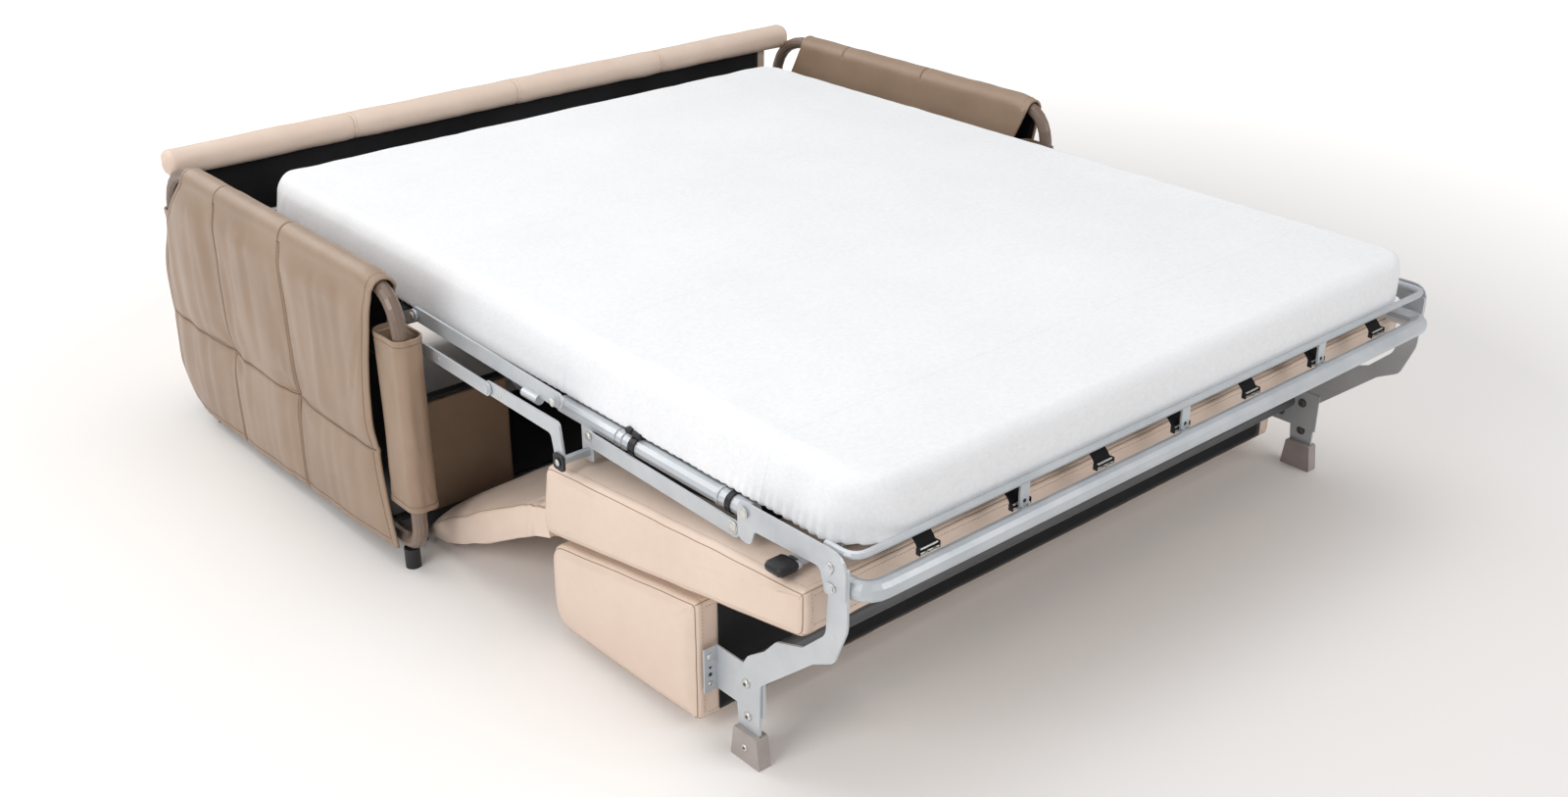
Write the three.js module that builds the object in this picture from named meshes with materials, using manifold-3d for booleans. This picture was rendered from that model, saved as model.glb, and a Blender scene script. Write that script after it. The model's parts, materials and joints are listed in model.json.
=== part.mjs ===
// Sleeper sofa with a pull-out bed, drawn with the bed open.
// Millimetres, +Z up, the sofa faces -Y, and the bed opens towards -Y.
// The origin is on the floor, under the middle of the whole outline.
import * as THREE from 'three';
import * as BufferGeometryUtils from 'three/addons/utils/BufferGeometryUtils.js';
import Module from 'manifold-3d';

const wasm = await Module();
wasm.setup();

// Fits between pieces
const touchGap = 0.3;
const runGap = 1.5;
const cutOverrun = 5;

// Arms: a loop of round tube with leather slung over it
const armTubeRadius = 15.5;
const armTubeHalfSpacing = 908.5;
const armFrontY = -738;
const armRearY = 290;
const armBottomZ = 60;
const armTopZ = 607;
const armTopFrontBend = 105;
const armTopRearBend = 150;
const armBottomFrontBend = 55;
const armBottomRearBend = 110;
const footRadius = 16;
const footInset = 45;
const footSink = 1;

const coverThickness = 5;
const coverSideGap = 24;
const coverCrownGap = 1.5;
const coverFrontY = -690;
const coverMidFrontY = -648;
const coverRearY = 166;
const coverMidRearY = 300;
const coverShoulderZ = 400;
const coverBottomZ = 52;
const coverBottomRearBend = 95;
const coverInnerBottomZ = 420;
const coverInnerFrontY = -646;
const coverInnerRearY = 196;
const coverSeamZ = 258;
const coverSeamY = [0, -303];
const coverPuff = 9;
const coverStations = 16;
const coverLevels = 10;
const coverArchSteps = 6;
const coverInnerLevels = 4;

const sleeveThickness = 4;
const sleeveBottomZ = 148;
const sleeveTopZ = 512;
const sleeveDepth = 108;
const sleeveInnerReach = 44;
const sleeveOuterReach = 21;
const rearSleeveBottomZ = 160;
const rearSleeveTopZ = 500;
const rearSleeveDepth = 60;

// Fixed base between the arms. The carrier plates stand inside the arms,
// and the widths of what folds between them are counted from the plates
const carrierSetback = 56.5;
const carrierPlateX = armTubeHalfSpacing - carrierSetback;
const stileSetback = 44;
const stileHalfOuter = carrierPlateX - stileSetback;
const stileWidth = 203;
const stileThickness = 24;
const stileFrontY = -604;
const stileBottomZ = 45;
const stileTopZ = 303;
const stileEdgeShare = 0.8;
const baseRailSize = 30;
const baseRearRailZ = 90;
const apronArmWidth = 40;
const apronArmSpreadShare = 0.5;

const backTopZ = 648;
const backBottomZ = 60;
const backSideGap = 50.5;
const backHalfWidth = armTubeHalfSpacing - backSideGap;
const rollOverhang = 10.5;
const backRollHalfWidth = armTubeHalfSpacing + rollOverhang;
const backShellThickness = 26;
const backRearY = 306;
const backRollRadius = 32;
const rollEndShares = [[-1, 0.55], [-0.997, 0.8], [-0.985, 0.95], [-0.96, 1]];
const rollSides = 20;
const liningThickness = 5;
const liningDropShare = 2.2;

const carrierPlateThickness = 4;
const carrierPlateRearY = -330;
const carrierPlateFrontY = -652;
const carrierPlateBottomZ = 14;
const carrierLugY = [-600, -380];
const carrierLugRadius = 9;
const pinShare = 0.8;

// Planes of the folding parts, from the carrier plate inwards
const lowerBarSetback = 11.5;
const lowerBarX = carrierPlateX - lowerBarSetback;
const crankSetback = 6;
const crankPlaneX = lowerBarX - crankSetback;
const headRailSetback = 18;
const headRailHalfSpacing = carrierPlateX - headRailSetback;
const bridgeSetback = 20;
const bridgePlaneX = headRailHalfSpacing - bridgeSetback;
const footPlateSetback = 11;
const footPlateX = bridgePlaneX - footPlateSetback;
const longLinkSetback = 17;
const longLinkX = bridgePlaneX - longLinkSetback;
const middleRailSetback = 25;
const middleRailHalfSpacing = longLinkX - middleRailSetback;
const mattressSetback = 27;
const mattressHalfWidth = middleRailHalfSpacing - mattressSetback;
const seatSideGap = 2.5;
const seatHalfWidth = crankPlaneX - seatSideGap;
const blockHalfWidth = seatHalfWidth;
const apronHalfWidth = seatHalfWidth - seatSideGap;

// Bed deck
const deckZ = 472;
const mattressThickness = 110;
const mattressHeadY = 132;
const mattressFootY = -1836;
const mattressSplit = 1;
const deckGap = 3;
const mattressEdgeShare = 0.28;
const mattressRingShares = [0, 0.02, 0.06, 0.5, 0.94, 0.98, 1];
const mattressTuckShares = [0.35, 0.1];
const mattressTuckWidth = 2;
const mattressTuckHeightShare = 0.6;

const headRailRadius = 12;
const headRailFrontY = -560;
const headRailRearY = 214;
const netStrapWidth = 46;
const netStrapThickness = 2.4;
const netTapes = 5;
const headNetStraps = 4;
const middleNetStraps = 6;
const slotFrontY = -300;
const slotRearY = -40;
const earThickness = 4;
const earHeight = 24;

// Link pivots, each as [y, z]
const armPivot = [-630, 462];
const seatPivot = [-925, 455];
const bridgePivot = [-640, 505];
const bridgeEnd = [-1120, 493];
const footPivot = [-1613, 477];
const linkRear = [-1184, 437];
const linkFront = [-1579, 430];
const bootPivot = [-1150, 393];

// Folding links, from the middle of the bed outwards
const linkThickness = 5;
const longLinkThickness = 4;
const longLinkHeight = 30;
const bridgeBarHeight = 30;
const bridgeTubeRadius = 10;
const bridgeTubeY = [-1016, -1064];
const bridgeTubeDrop = 30;
const crankRoundShare = 0.9;
const barHeight = 26;
const rivetHeadRadius = 9;
const rivetHeadHeight = 3;
const lowHeadHeight = 1.5;
const rivetSink = 1;
const bossRadius = 17;
const bootShare = 0.6;

const middleRailRadius = 17;
const middleRailRearY = -1070;
const seatBracketThickness = 4;
const seatBracketWidth = 34;
const seatPinRadius = 8;

// Foot end
const footPlateThickness = 4;
const footPlateHeelY = -1844;
const footPlateLowZ = 418;
const footPlateDepth = 248;
const footPlateHeight = 80;
const footPlateShares = [
  [1, 0.95], [0, 1], [0, 0.025], [0.18, 0], [0.226, 0.5], [0.835, 0.42], [0.87, 0.06], [1, 0.06],
];
const footPlateRoundShares = [0.21, 0.43, 0.06, 0.05, 0.18, 0.1, 0.17, 0.21];
const footPlateBoltShares = [[0.145, 0.56], [0.133, 0.19]];
const footRailY = -1862;
const footRailZ = 430;
const footRailRadius = 17.5;
const footRailBend = 70;
const footRailReach = 60;
const retainerRadius = 6.5;
const retainerY = -1846;
const retainerZ = 491;
const retainerBend = 49;
const uprightWidth = 22;
const uprightThickness = 4;
const uprightPlaces = 3;
const strapCount = 7;
const strapWidth = 38;
const strapPitch = 210;
const footNetInset = 70;

const legPlateThickness = 5;
const legPlateBottomZ = 46;
const legPlateHeight = 428;
const legPlateDepth = 266;
const legPlateShares = [
  [0.143, 1], [0, 1], [0, 0.748], [0.105, 0.584], [0.278, 0.528], [0.756, 0.271], [0.767, 0],
  [0.955, 0], [1, 0.243], [0.872, 0.374], [0.714, 0.444], [0.609, 0.519], [0.372, 0.57], [0.173, 0.687],
];
const legPlateRoundShares = [
  0.015, 0.023, 0.226, 0.075, 0.038, 0.045, 0.008, 0.008, 0.075, 0.075, 0.06, 0.053, 0.075, 0.113,
];
const legFootY = -1615;
const legFootHeight = 60;
const legFootWidth = 74;
const legFootTopShare = 0.8;
const legFootThickness = 26;
const legFootSlotWidth = 55;
const legFootRound = 5;
const bracketThickness = 3;
const bracketFrontY = -1648;
const bracketBottomZ = 96;
const bracketTopZ = 182;
const bracketFlange = 28;
const crossTubeRadius = 16;
const crossTubeY = -1575;
const crossTubeZ = 150;

// Upholstery
const paddedStations = 12;
const seatRearY = -1080;
const seatFootY = -1780;
const seatRearTopZ = 358;
const seatFootTopZ = 416;
const seatRearBottomZ = 218;
const seatFootBottomZ = 332;
const seatRound = 24;
const seatHeelRound = 36;
const seatCrown = 8;
const boardThickness = 12;

const blockFrontY = -1514;
const blockRearY = -1100;
const blockBottomZ = 40;
const blockRound = 34;
const blockCrown = 8;
const blockGap = 3;

const apronPivot = [-766, 84];
const apronEnd = [-1058, 196];
const apronThickness = 24;
const apronSag = 22;
const apronSteps = 10;
const apronThinShare = 0.45;
const apronEndShare = 0.6;
const apronRingShares = [-1, -0.99, 0, 0.99, 1];

const endBarY = -1715;
const endBarWidth = 26;
const endBarThickness = 5;
const endGripShare = 0.7;
const endGripRingShares = [[-0.25, 0.9], [0, 1], [1, 1], [2, 0.8]];
const endCapLength = 42;

// Materials
function paint(color, roughness, metalness) {
  return new THREE.MeshStandardMaterial({ color, roughness, metalness });
}
const armPaint = paint(0x6f6058, 0.35, 0.6);
const taupeLeather = paint(0xa08c7a, 0.55, 0);
const beigeLeather = paint(0xe0cdbc, 0.55, 0);
const greyPaint = paint(0xc4c9cd, 0.4, 0.3);
const blackPlastic = paint(0x1a1a1c, 0.5, 0);
const blackCloth = paint(0x17161a, 0.9, 0);
const footPlastic = paint(0x9c9490, 0.5, 0);
const sheetCloth = paint(0xf2f2f2, 0.9, 0);

// Geometry helpers
function closedMesh(positions, index) {
  const geometry = new THREE.BufferGeometry();
  geometry.setAttribute('position', new THREE.Float32BufferAttribute(positions, 3));
  geometry.setIndex(index);
  let volume = 0;
  const corner = [new THREE.Vector3(), new THREE.Vector3(), new THREE.Vector3()];
  for (let i = 0; i < index.length; i += 3) {
    corner.forEach((c, k) => c.fromArray(positions, 3 * index[i + k]));
    volume += corner[0].dot(corner[1].clone().cross(corner[2]));
  }
  if (volume < 0) {
    for (let i = 0; i < index.length; i += 3) {
      [index[i + 1], index[i + 2]] = [index[i + 2], index[i + 1]];
    }
    geometry.setIndex(index);
  }
  geometry.computeVertexNormals();
  return geometry;
}

// Triangles over a nearly flat ring, wound the way the ring runs
function capFaces(ring) {
  const size = new THREE.Box3().setFromPoints(ring).getSize(new THREE.Vector3());
  const axes = ['x', 'y', 'z'].sort((a, b) => size[b] - size[a]).slice(0, 2);
  const flat = ring.map((p) => new THREE.Vector2(p[axes[0]], p[axes[1]]));
  const turn = Math.sign(THREE.ShapeUtils.area(flat));
  return THREE.ShapeUtils.triangulateShape(flat, []).map((face) => {
    const same = Math.sign(THREE.ShapeUtils.area(face.map((j) => flat[j]))) === turn;
    return same ? face : [face[2], face[1], face[0]];
  });
}

// Rings of the same count joined into one skin, capped or closed on itself
function loft(rings, closed = false) {
  const count = rings[0].length;
  const positions = rings.flat().flatMap((p) => [p.x, p.y, p.z]);
  const index = [];
  const last = closed ? rings.length : rings.length - 1;
  for (let i = 0; i < last; i++) {
    const a = i * count;
    const b = ((i + 1) % rings.length) * count;
    for (let j = 0; j < count; j++) {
      const k = (j + 1) % count;
      index.push(a + j, a + k, b + k, a + j, b + k, b + j);
    }
  }
  if (!closed) {
    for (const [ring, flip] of [[0, true], [rings.length - 1, false]]) {
      for (const face of capFaces(rings[ring])) {
        const [a, b, c] = face.map((j) => ring * count + j);
        index.push(...(flip ? [c, b, a] : [a, b, c]));
      }
    }
  }
  return closedMesh(positions, index);
}

// A thin sheet between two grids of points with matching rows and columns
function sheet(outside, inside) {
  const rows = outside.length;
  const columns = outside[0].length;
  const positions = [...outside, ...inside].flat().flatMap((p) => [p.x, p.y, p.z]);
  const index = [];
  const at = (layer, i, j) => (layer * rows + i) * columns + j;
  const quad = (a, b, c, d) => index.push(a, b, c, a, c, d);
  for (let i = 0; i < rows - 1; i++) {
    for (let j = 0; j < columns - 1; j++) {
      quad(at(0, i, j), at(0, i, j + 1), at(0, i + 1, j + 1), at(0, i + 1, j));
      quad(at(1, i, j), at(1, i + 1, j), at(1, i + 1, j + 1), at(1, i, j + 1));
    }
  }
  for (let i = 0; i < rows - 1; i++) {
    quad(at(0, i, 0), at(0, i + 1, 0), at(1, i + 1, 0), at(1, i, 0));
    const j = columns - 1;
    quad(at(0, i, j), at(1, i, j), at(1, i + 1, j), at(0, i + 1, j));
  }
  for (let j = 0; j < columns - 1; j++) {
    quad(at(0, 0, j), at(1, 0, j), at(1, 0, j + 1), at(0, 0, j + 1));
    const i = rows - 1;
    quad(at(0, i, j), at(0, i, j + 1), at(1, i, j + 1), at(1, i, j));
  }
  return closedMesh(positions, index);
}

// A flat corner list with each corner rounded by its own radius
function rounded(corners, radii, steps = 5) {
  const out = [];
  corners.forEach((corner, i) => {
    const radius = Array.isArray(radii) ? radii[i] : radii;
    const here = new THREE.Vector2(...corner);
    const before = new THREE.Vector2(...corners.at(i - 1)).sub(here);
    const after = new THREE.Vector2(...corners[(i + 1) % corners.length]).sub(here);
    const half = Math.acos(before.clone().normalize().dot(after.clone().normalize())) / 2;
    if (!radius) {
      out.push(here);
      return;
    }
    const reach = Math.min(radius / Math.tan(half), before.length() / 2, after.length() / 2);
    const start = here.clone().addScaledVector(before.normalize(), reach);
    const end = here.clone().addScaledVector(after.normalize(), reach);
    for (let s = 0; s <= steps; s++) {
      const t = s / steps;
      const p = start.clone().multiplyScalar((1 - t) * (1 - t));
      p.addScaledVector(here, 2 * t * (1 - t)).addScaledVector(end, t * t);
      out.push(p);
    }
  });
  return out;
}

// A tube along flat points; the plane's normal fixes the rings
function sweep(points, normal, radius, { sides = 12, closed = false } = {}) {
  const rings = points.map((p, i) => {
    const before = closed ? points.at(i - 1) : points[Math.max(i - 1, 0)];
    const after = closed ? points[(i + 1) % points.length] : points[Math.min(i + 1, points.length - 1)];
    const along = after.clone().sub(before).normalize();
    const side = along.clone().cross(normal);
    return Array.from({ length: sides }, (_, k) => {
      const angle = (2 * Math.PI * k) / sides;
      return p.clone()
        .addScaledVector(normal, radius * Math.cos(angle))
        .addScaledVector(side, radius * Math.sin(angle));
    });
  });
  return loft(rings, closed);
}

const acrossX = new THREE.Vector3(1, 0, 0);
const upZ = new THREE.Vector3(0, 0, 1);
const yzPoints = (flat, x) => flat.map((p) => new THREE.Vector3(x, p.x, p.y));
const xyPoints = (flat, z) => flat.map((p) => new THREE.Vector3(p.x, p.y, z));

// A plate in a plane of constant x, from x0 to x1
function plateX(flat, x0, x1, holes = []) {
  const shape = new THREE.Shape(flat);
  for (const [y, z, radius] of holes) {
    const hole = new THREE.Path();
    hole.absarc(y, z, radius, 0, 2 * Math.PI, true);
    shape.holes.push(hole);
  }
  const depth = Math.abs(x1 - x0);
  const geometry = new THREE.ExtrudeGeometry(shape, { depth, bevelEnabled: false, curveSegments: 8 });
  const turn = new THREE.Matrix4().set(
    0, 0, 1, Math.min(x0, x1),
    1, 0, 0, 0,
    0, 1, 0, 0,
    0, 0, 0, 1,
  );
  return geometry.applyMatrix4(turn);
}

function box(x0, x1, y0, y1, z0, z1) {
  const geometry = new THREE.BoxGeometry(Math.abs(x1 - x0), Math.abs(y1 - y0), Math.abs(z1 - z0));
  return geometry.translate((x0 + x1) / 2, (y0 + y1) / 2, (z0 + z1) / 2);
}

function rodX(x0, x1, y, z, radius, sides = 16) {
  const geometry = new THREE.CylinderGeometry(radius, radius, Math.abs(x1 - x0), sides);
  return geometry.rotateZ(Math.PI / 2).translate((x0 + x1) / 2, y, z);
}

function solid(geometry) {
  const bare = geometry.clone();
  bare.deleteAttribute('normal');
  bare.deleteAttribute('uv');
  const merged = BufferGeometryUtils.mergeVertices(bare);
  return new wasm.Manifold(new wasm.Mesh({
    numProp: 3,
    vertProperties: new Float32Array(merged.attributes.position.array),
    triVerts: new Uint32Array(merged.index.array),
  }));
}

function backToGeometry(manifold) {
  const mesh = manifold.getMesh();
  const geometry = new THREE.BufferGeometry();
  geometry.setAttribute('position', new THREE.BufferAttribute(new Float32Array(mesh.vertProperties), 3));
  geometry.setIndex(new THREE.BufferAttribute(new Uint32Array(mesh.triVerts), 1));
  geometry.computeVertexNormals();
  return geometry;
}

function fuse(...pieces) {
  return backToGeometry(pieces.map(solid).reduce((sum, piece) => sum.add(piece)));
}

function cut(body, ...tools) {
  return backToGeometry(tools.map(solid).reduce((left, tool) => left.subtract(tool), solid(body)));
}

// A padded block: its side outline is carried across x, with the ends
// drawn in and the broad faces swelling by the crown
function padded(corners, radii, halfWidth, crown, endRound, steps = 5) {
  const outline = rounded(corners, radii, steps);
  const centre = outline.reduce((s, p) => s.add(p), new THREE.Vector2()).divideScalar(outline.length);
  const stations = paddedStations;
  const rings = [];
  for (let i = 0; i <= stations; i++) {
    const angle = Math.PI * (i / stations - 1 / 2);
    const share = Math.sin(angle);
    const nearEnd = Math.cos(angle);
    const x = i === 0 || i === stations ? Math.sign(share) * halfWidth : share * (halfWidth - endRound / 4);
    const inset = i === 0 || i === stations ? endRound : endRound * (1 - nearEnd) * (1 - nearEnd) / 2;
    const swell = crown * nearEnd;
    rings.push(outline.map((p) => {
      const out = p.clone().sub(centre);
      const reach = out.length();
      const height = Math.abs(out.y) / reach;
      const q = centre.clone().addScaledVector(out, (reach - inset + swell * height * height) / reach);
      return new THREE.Vector3(x, q.x, q.y);
    }));
  }
  return loft(rings);
}

const group = new THREE.Group();
function place(name, geometry, material) {
  const mesh = new THREE.Mesh(geometry, material);
  mesh.name = name;
  group.add(mesh);
}
const sides = [['left', -1], ['right', 1]];

// A rivet: a head standing on the outer face of a plate
function rivet(side, faceX, [y, z], radius = rivetHeadRadius, height = rivetHeadHeight) {
  return rodX(side * (faceX - rivetSink), side * (faceX + height), y, z, radius, 12);
}

// A straight bar between two pivots in a plane of constant x, with round ends
function bar(from, to, height, x0, x1) {
  const along = new THREE.Vector2(to[0] - from[0], to[1] - from[1]);
  const start = along.angle() + Math.PI / 2;
  const shape = new THREE.Shape();
  shape.absarc(from[0], from[1], height / 2, start, start + Math.PI, false);
  shape.absarc(to[0], to[1], height / 2, start + Math.PI, start + 2 * Math.PI, false);
  const flat = shape.getPoints(8);
  if (flat[0].distanceTo(flat.at(-1)) < touchGap) flat.pop();
  return plateX(flat, x0, x1);
}

// Arms
const armOutline = rounded(
  [[armFrontY, armBottomZ], [armRearY, armBottomZ], [armRearY, armTopZ], [armFrontY, armTopZ]],
  [armBottomFrontBend, armBottomRearBend, armTopRearBend, armTopFrontBend],
  8,
);

function armTube(side) {
  const loop = yzPoints(armOutline, side * armTubeHalfSpacing);
  return sweep(loop, acrossX, armTubeRadius, { closed: true });
}

// The cover is a leather sling: a long outer fall with puffed panels,
// an arch over the crown, and a short inner fall
const crownZ = armTopZ + armTubeRadius + coverCrownGap;
const coverInnerX = armTubeHalfSpacing - coverSideGap;
const coverOuterX = armTubeHalfSpacing + coverSideGap;

function panelPuff(y, z) {
  const edges = [coverFrontY, coverSeamY[1], coverSeamY[0], coverMidRearY];
  const panel = Math.max(edges.findLastIndex((edge, n) => n < edges.length - 1 && y >= edge), 0);
  const across = THREE.MathUtils.inverseLerp(edges[panel], edges[panel + 1], y);
  const [low, high] = z < coverSeamZ ? [coverBottomZ, coverSeamZ] : [coverSeamZ, crownZ];
  const up = THREE.MathUtils.inverseLerp(low, high, z);
  const swell = (share) => Math.sin(Math.PI * THREE.MathUtils.clamp(share, 0, 1));
  return coverPuff * Math.sqrt(Math.max(0, swell(across) * swell(up)));
}

function outerFall(t, levels) {
  return Array.from({ length: levels + 1 }, (_, k) => {
    const s = k / levels;
    const z = THREE.MathUtils.lerp(coverBottomZ, crownZ - coverSideGap, s);
    const belly = Math.sin(Math.PI * s);
    const low = Math.max(0, coverBottomZ + coverBottomRearBend - z) / coverBottomRearBend;
    const front = THREE.MathUtils.lerp(coverFrontY, coverMidFrontY, belly);
    const high = Math.max(0, z - coverShoulderZ) / (crownZ - coverSideGap - coverShoulderZ);
    const drawnIn = (coverMidRearY - coverRearY) * high * high + coverBottomRearBend * low * low;
    const rear = coverMidRearY - drawnIn;
    return new THREE.Vector3(coverOuterX, THREE.MathUtils.lerp(front, rear, t), z);
  });
}

function innerFall(t, levels) {
  return Array.from({ length: levels + 1 }, (_, k) => {
    const z = THREE.MathUtils.lerp(crownZ - coverSideGap, coverInnerBottomZ, k / levels);
    const drawIn = Math.min(1, (2 * k) / levels);
    const front = THREE.MathUtils.lerp(coverFrontY, coverInnerFrontY, drawIn);
    const rear = THREE.MathUtils.lerp(coverRearY, coverInnerRearY, drawIn);
    return new THREE.Vector3(coverInnerX, THREE.MathUtils.lerp(front, rear, t), z);
  });
}

function armCover(side) {
  const layers = [coverThickness, 0].map((thick) => {
    const rows = [];
    for (let i = 0; i <= coverStations; i++) {
      const t = i / coverStations;
      const y = THREE.MathUtils.lerp(coverFrontY, coverRearY, t);
      const puff = (p) => (thick ? panelPuff(p.y, p.z) : 0);
      const outer = outerFall(t, coverLevels).map((p) => p.setX(p.x + thick + puff(p)));
      const arch = Array.from({ length: coverArchSteps }, (_, k) => {
        const angle = (Math.PI * (k + 1 / 2)) / coverArchSteps;
        const radius = coverSideGap + thick;
        const x = armTubeHalfSpacing + radius * Math.cos(angle);
        return new THREE.Vector3(x, y, crownZ - coverSideGap + radius * Math.sin(angle));
      });
      const inner = innerFall(t, coverInnerLevels).map((p) => p.setX(p.x - thick));
      rows.push([...outer, ...arch, ...inner].map((p) => p.setX(side * p.x)));
    }
    return rows;
  });
  return sheet(...layers);
}

// A leather sleeve: a flattened ring round an upright of the arm loop
function sleeve(side, centreY, depth, bottomZ, topZ) {
  const ringAt = (grow, z) => rounded(
    [
      [-sleeveInnerReach - grow, -depth / 2 - grow], [sleeveOuterReach + grow, -depth / 2 - grow],
      [sleeveOuterReach + grow, depth / 2 + grow], [-sleeveInnerReach - grow, depth / 2 + grow],
    ],
    armTubeRadius + grow + sleeveThickness,
    3,
  ).map((p) => new THREE.Vector3(side * (armTubeHalfSpacing + p.x), centreY + p.y, z));
  const outside = [ringAt(0, bottomZ), ringAt(0, topZ)];
  const inside = [ringAt(-sleeveThickness, topZ), ringAt(-sleeveThickness, bottomZ)];
  return loft([...outside, ...inside], true);
}

const frontSleeveY = armFrontY + sleeveDepth / 2 - armTubeRadius - sleeveThickness - runGap;
const rearSleeveY = armRearY - rearSleeveDepth / 2 + armTubeRadius + sleeveThickness + runGap;

const footPlaces = [['front', armFrontY + footInset], ['rear', armRearY - armBottomRearBend]];
function armFoot(side, y) {
  const profile = [
    new THREE.Vector2(0, 0),
    new THREE.Vector2(footRadius, 0),
    new THREE.Vector2(footRadius, armBottomZ - armTubeRadius - touchGap - footSink),
    new THREE.Vector2(0, armBottomZ - armTubeRadius - touchGap - footSink),
  ];
  const turned = new THREE.LatheGeometry(profile, 20).rotateX(Math.PI / 2);
  return turned.translate(side * armTubeHalfSpacing, y, 0);
}

for (const [hand, side] of sides) {
  place(`arm_tube_${hand}`, armTube(side), armPaint);
  place(`arm_cover_${hand}`, armCover(side), taupeLeather);
  place(
    `front_sleeve_${hand}`,
    sleeve(side, frontSleeveY, sleeveDepth, sleeveBottomZ, sleeveTopZ),
    taupeLeather,
  );
  place(
    `rear_sleeve_${hand}`,
    sleeve(side, rearSleeveY, rearSleeveDepth, rearSleeveBottomZ, rearSleeveTopZ),
    taupeLeather,
  );
  for (const [end, y] of footPlaces) {
    place(`${end}_foot_${hand}`, armFoot(side, y), blackPlastic);
  }
}

// Fixed base: two upholstered stiles at the front, cross rails, the back
function stile(side) {
  const outer = side * stileHalfOuter;
  const inner = side * (stileHalfOuter - stileWidth);
  const rear = stileFrontY + stileThickness;
  const flat = rounded(
    [[outer, stileFrontY], [inner, stileFrontY], [inner, rear], [outer, rear]],
    [stileThickness / 4, stileThickness * stileEdgeShare, stileThickness / 8, stileThickness / 8],
  );
  return loft([stileBottomZ, stileTopZ].map((z) => xyPoints(flat, z)));
}

// The front rail stands under the stiles and reaches the carrier plates;
// two flat arms on it hold the lower edge of the apron
const carrierInnerX = carrierPlateX - carrierPlateThickness;
function frontRail() {
  const half = baseRailSize / 2;
  const topZ = stileBottomZ - touchGap;
  const middleY = stileFrontY + stileThickness / 2;
  const reach = carrierInnerX - touchGap;
  const rail = box(-reach, reach, middleY - half, middleY + half, topZ - baseRailSize, topZ);
  const arms = [-1, 1].map((side) => box(
    side * (stileHalfOuter * apronArmSpreadShare - apronArmWidth / 2),
    side * (stileHalfOuter * apronArmSpreadShare + apronArmWidth / 2),
    apronPivot[0] - apronThickness / 2,
    middleY,
    topZ - half / 2,
    topZ,
  ));
  return fuse(rail, ...arms);
}

const liningRearY = backRearY - backShellThickness - touchGap;
function rearRail() {
  const half = baseRailSize / 2;
  const middleY = liningRearY - liningThickness - touchGap - half;
  const reach = armTubeHalfSpacing - armTubeRadius - touchGap;
  return box(-reach, reach, middleY - half, middleY + half, baseRearRailZ - half, baseRearRailZ + half);
}

// The back is a thin leather shell; its top is a padded roll that
// reaches out over both arms
const rollY = backRearY - backRollRadius;
const rollZ = backTopZ - backRollRadius;
function backPanel() {
  const frontY = backRearY - backShellThickness;
  const shell = box(-backHalfWidth, backHalfWidth, frontY, backRearY, backBottomZ, rollZ);
  const shares = [...rollEndShares, ...rollEndShares.map(([share, size]) => [-share, size]).reverse()];
  const rings = shares.map(([share, size]) => Array.from({ length: rollSides }, (_, k) => {
    const angle = (2 * Math.PI * k) / rollSides;
    const radius = backRollRadius * size;
    return new THREE.Vector3(
      share * backRollHalfWidth,
      rollY + radius * Math.cos(angle),
      rollZ + radius * Math.sin(angle),
    );
  }));
  return fuse(shell, loft(rings));
}

function backLining() {
  const reach = backHalfWidth - backRollRadius;
  const topZ = backTopZ - liningDropShare * backRollRadius;
  return box(-reach, reach, liningRearY - liningThickness, liningRearY, backBottomZ, topZ);
}

// Steel plate inside each arm that carries the pivots of the fold,
// held off the arm's lower tube by two lugs
function carrierPlate(side) {
  const topZ = armPivot[1] + bossRadius;
  const outline = rounded(
    [
      [carrierPlateFrontY, carrierPlateBottomZ],
      [carrierPlateRearY, carrierPlateBottomZ],
      [carrierPlateRearY, armPivot[1] - 4 * bossRadius],
      [armPivot[0] + 2 * bossRadius, topZ],
      [carrierPlateFrontY, topZ],
    ],
    [bossRadius / 2, bossRadius / 2, 2 * bossRadius, 2 * bossRadius, bossRadius],
  );
  const plate = plateX(outline, side * carrierInnerX, side * carrierPlateX);
  const pin = rodX(
    side * (carrierInnerX + carrierPlateThickness / 2),
    side * (lowerBarX + linkThickness + touchGap),
    ...armPivot,
    bossRadius * pinShare,
  );
  const lugs = carrierLugY.map((y) => rodX(
    side * (carrierPlateX - carrierPlateThickness / 2),
    side * (armTubeHalfSpacing - armTubeRadius - touchGap),
    y,
    armBottomZ,
    carrierLugRadius,
  ));
  return fuse(plate, pin, ...lugs);
}

for (const [hand, side] of sides) {
  place(`base_stile_${hand}`, stile(side), taupeLeather);
  place(`carrier_plate_${hand}`, carrierPlate(side), armPaint);
}
place('base_front_rail', frontRail(), blackCloth);
place('base_rear_rail', rearRail(), blackCloth);
place('back_panel', backPanel(), beigeLeather);
place('back_lining', backLining(), blackCloth);

// Fold links on each side
function lowerBar(side) {
  const outer = lowerBarX + linkThickness;
  const body = bar(armPivot, seatPivot, barHeight, side * lowerBarX, side * outer);
  return fuse(body, rivet(side, outer, seatPivot, rivetHeadRadius, lowHeadHeight));
}

// The crank between the lower bar and the seat: level along the deck,
// then down to the black boot
const crankOuterX = crankPlaneX + linkThickness;
function seatCrank(side) {
  const half = barHeight / 2;
  const bend = [bootPivot[0] + half, seatPivot[1] - half];
  const outline = rounded(
    [
      [seatPivot[0] + half, seatPivot[1] - half],
      [seatPivot[0] + half, seatPivot[1] + half],
      [bend[0] - half, bend[1] + barHeight],
      [bootPivot[0] - half, bootPivot[1] - half / 2],
      [bootPivot[0] + half, bootPivot[1] - half],
      [bend[0] + half, bend[1] - half / 4],
    ],
    half * crankRoundShare,
  );
  return plateX(outline, side * crankPlaneX, side * crankOuterX);
}

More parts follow.
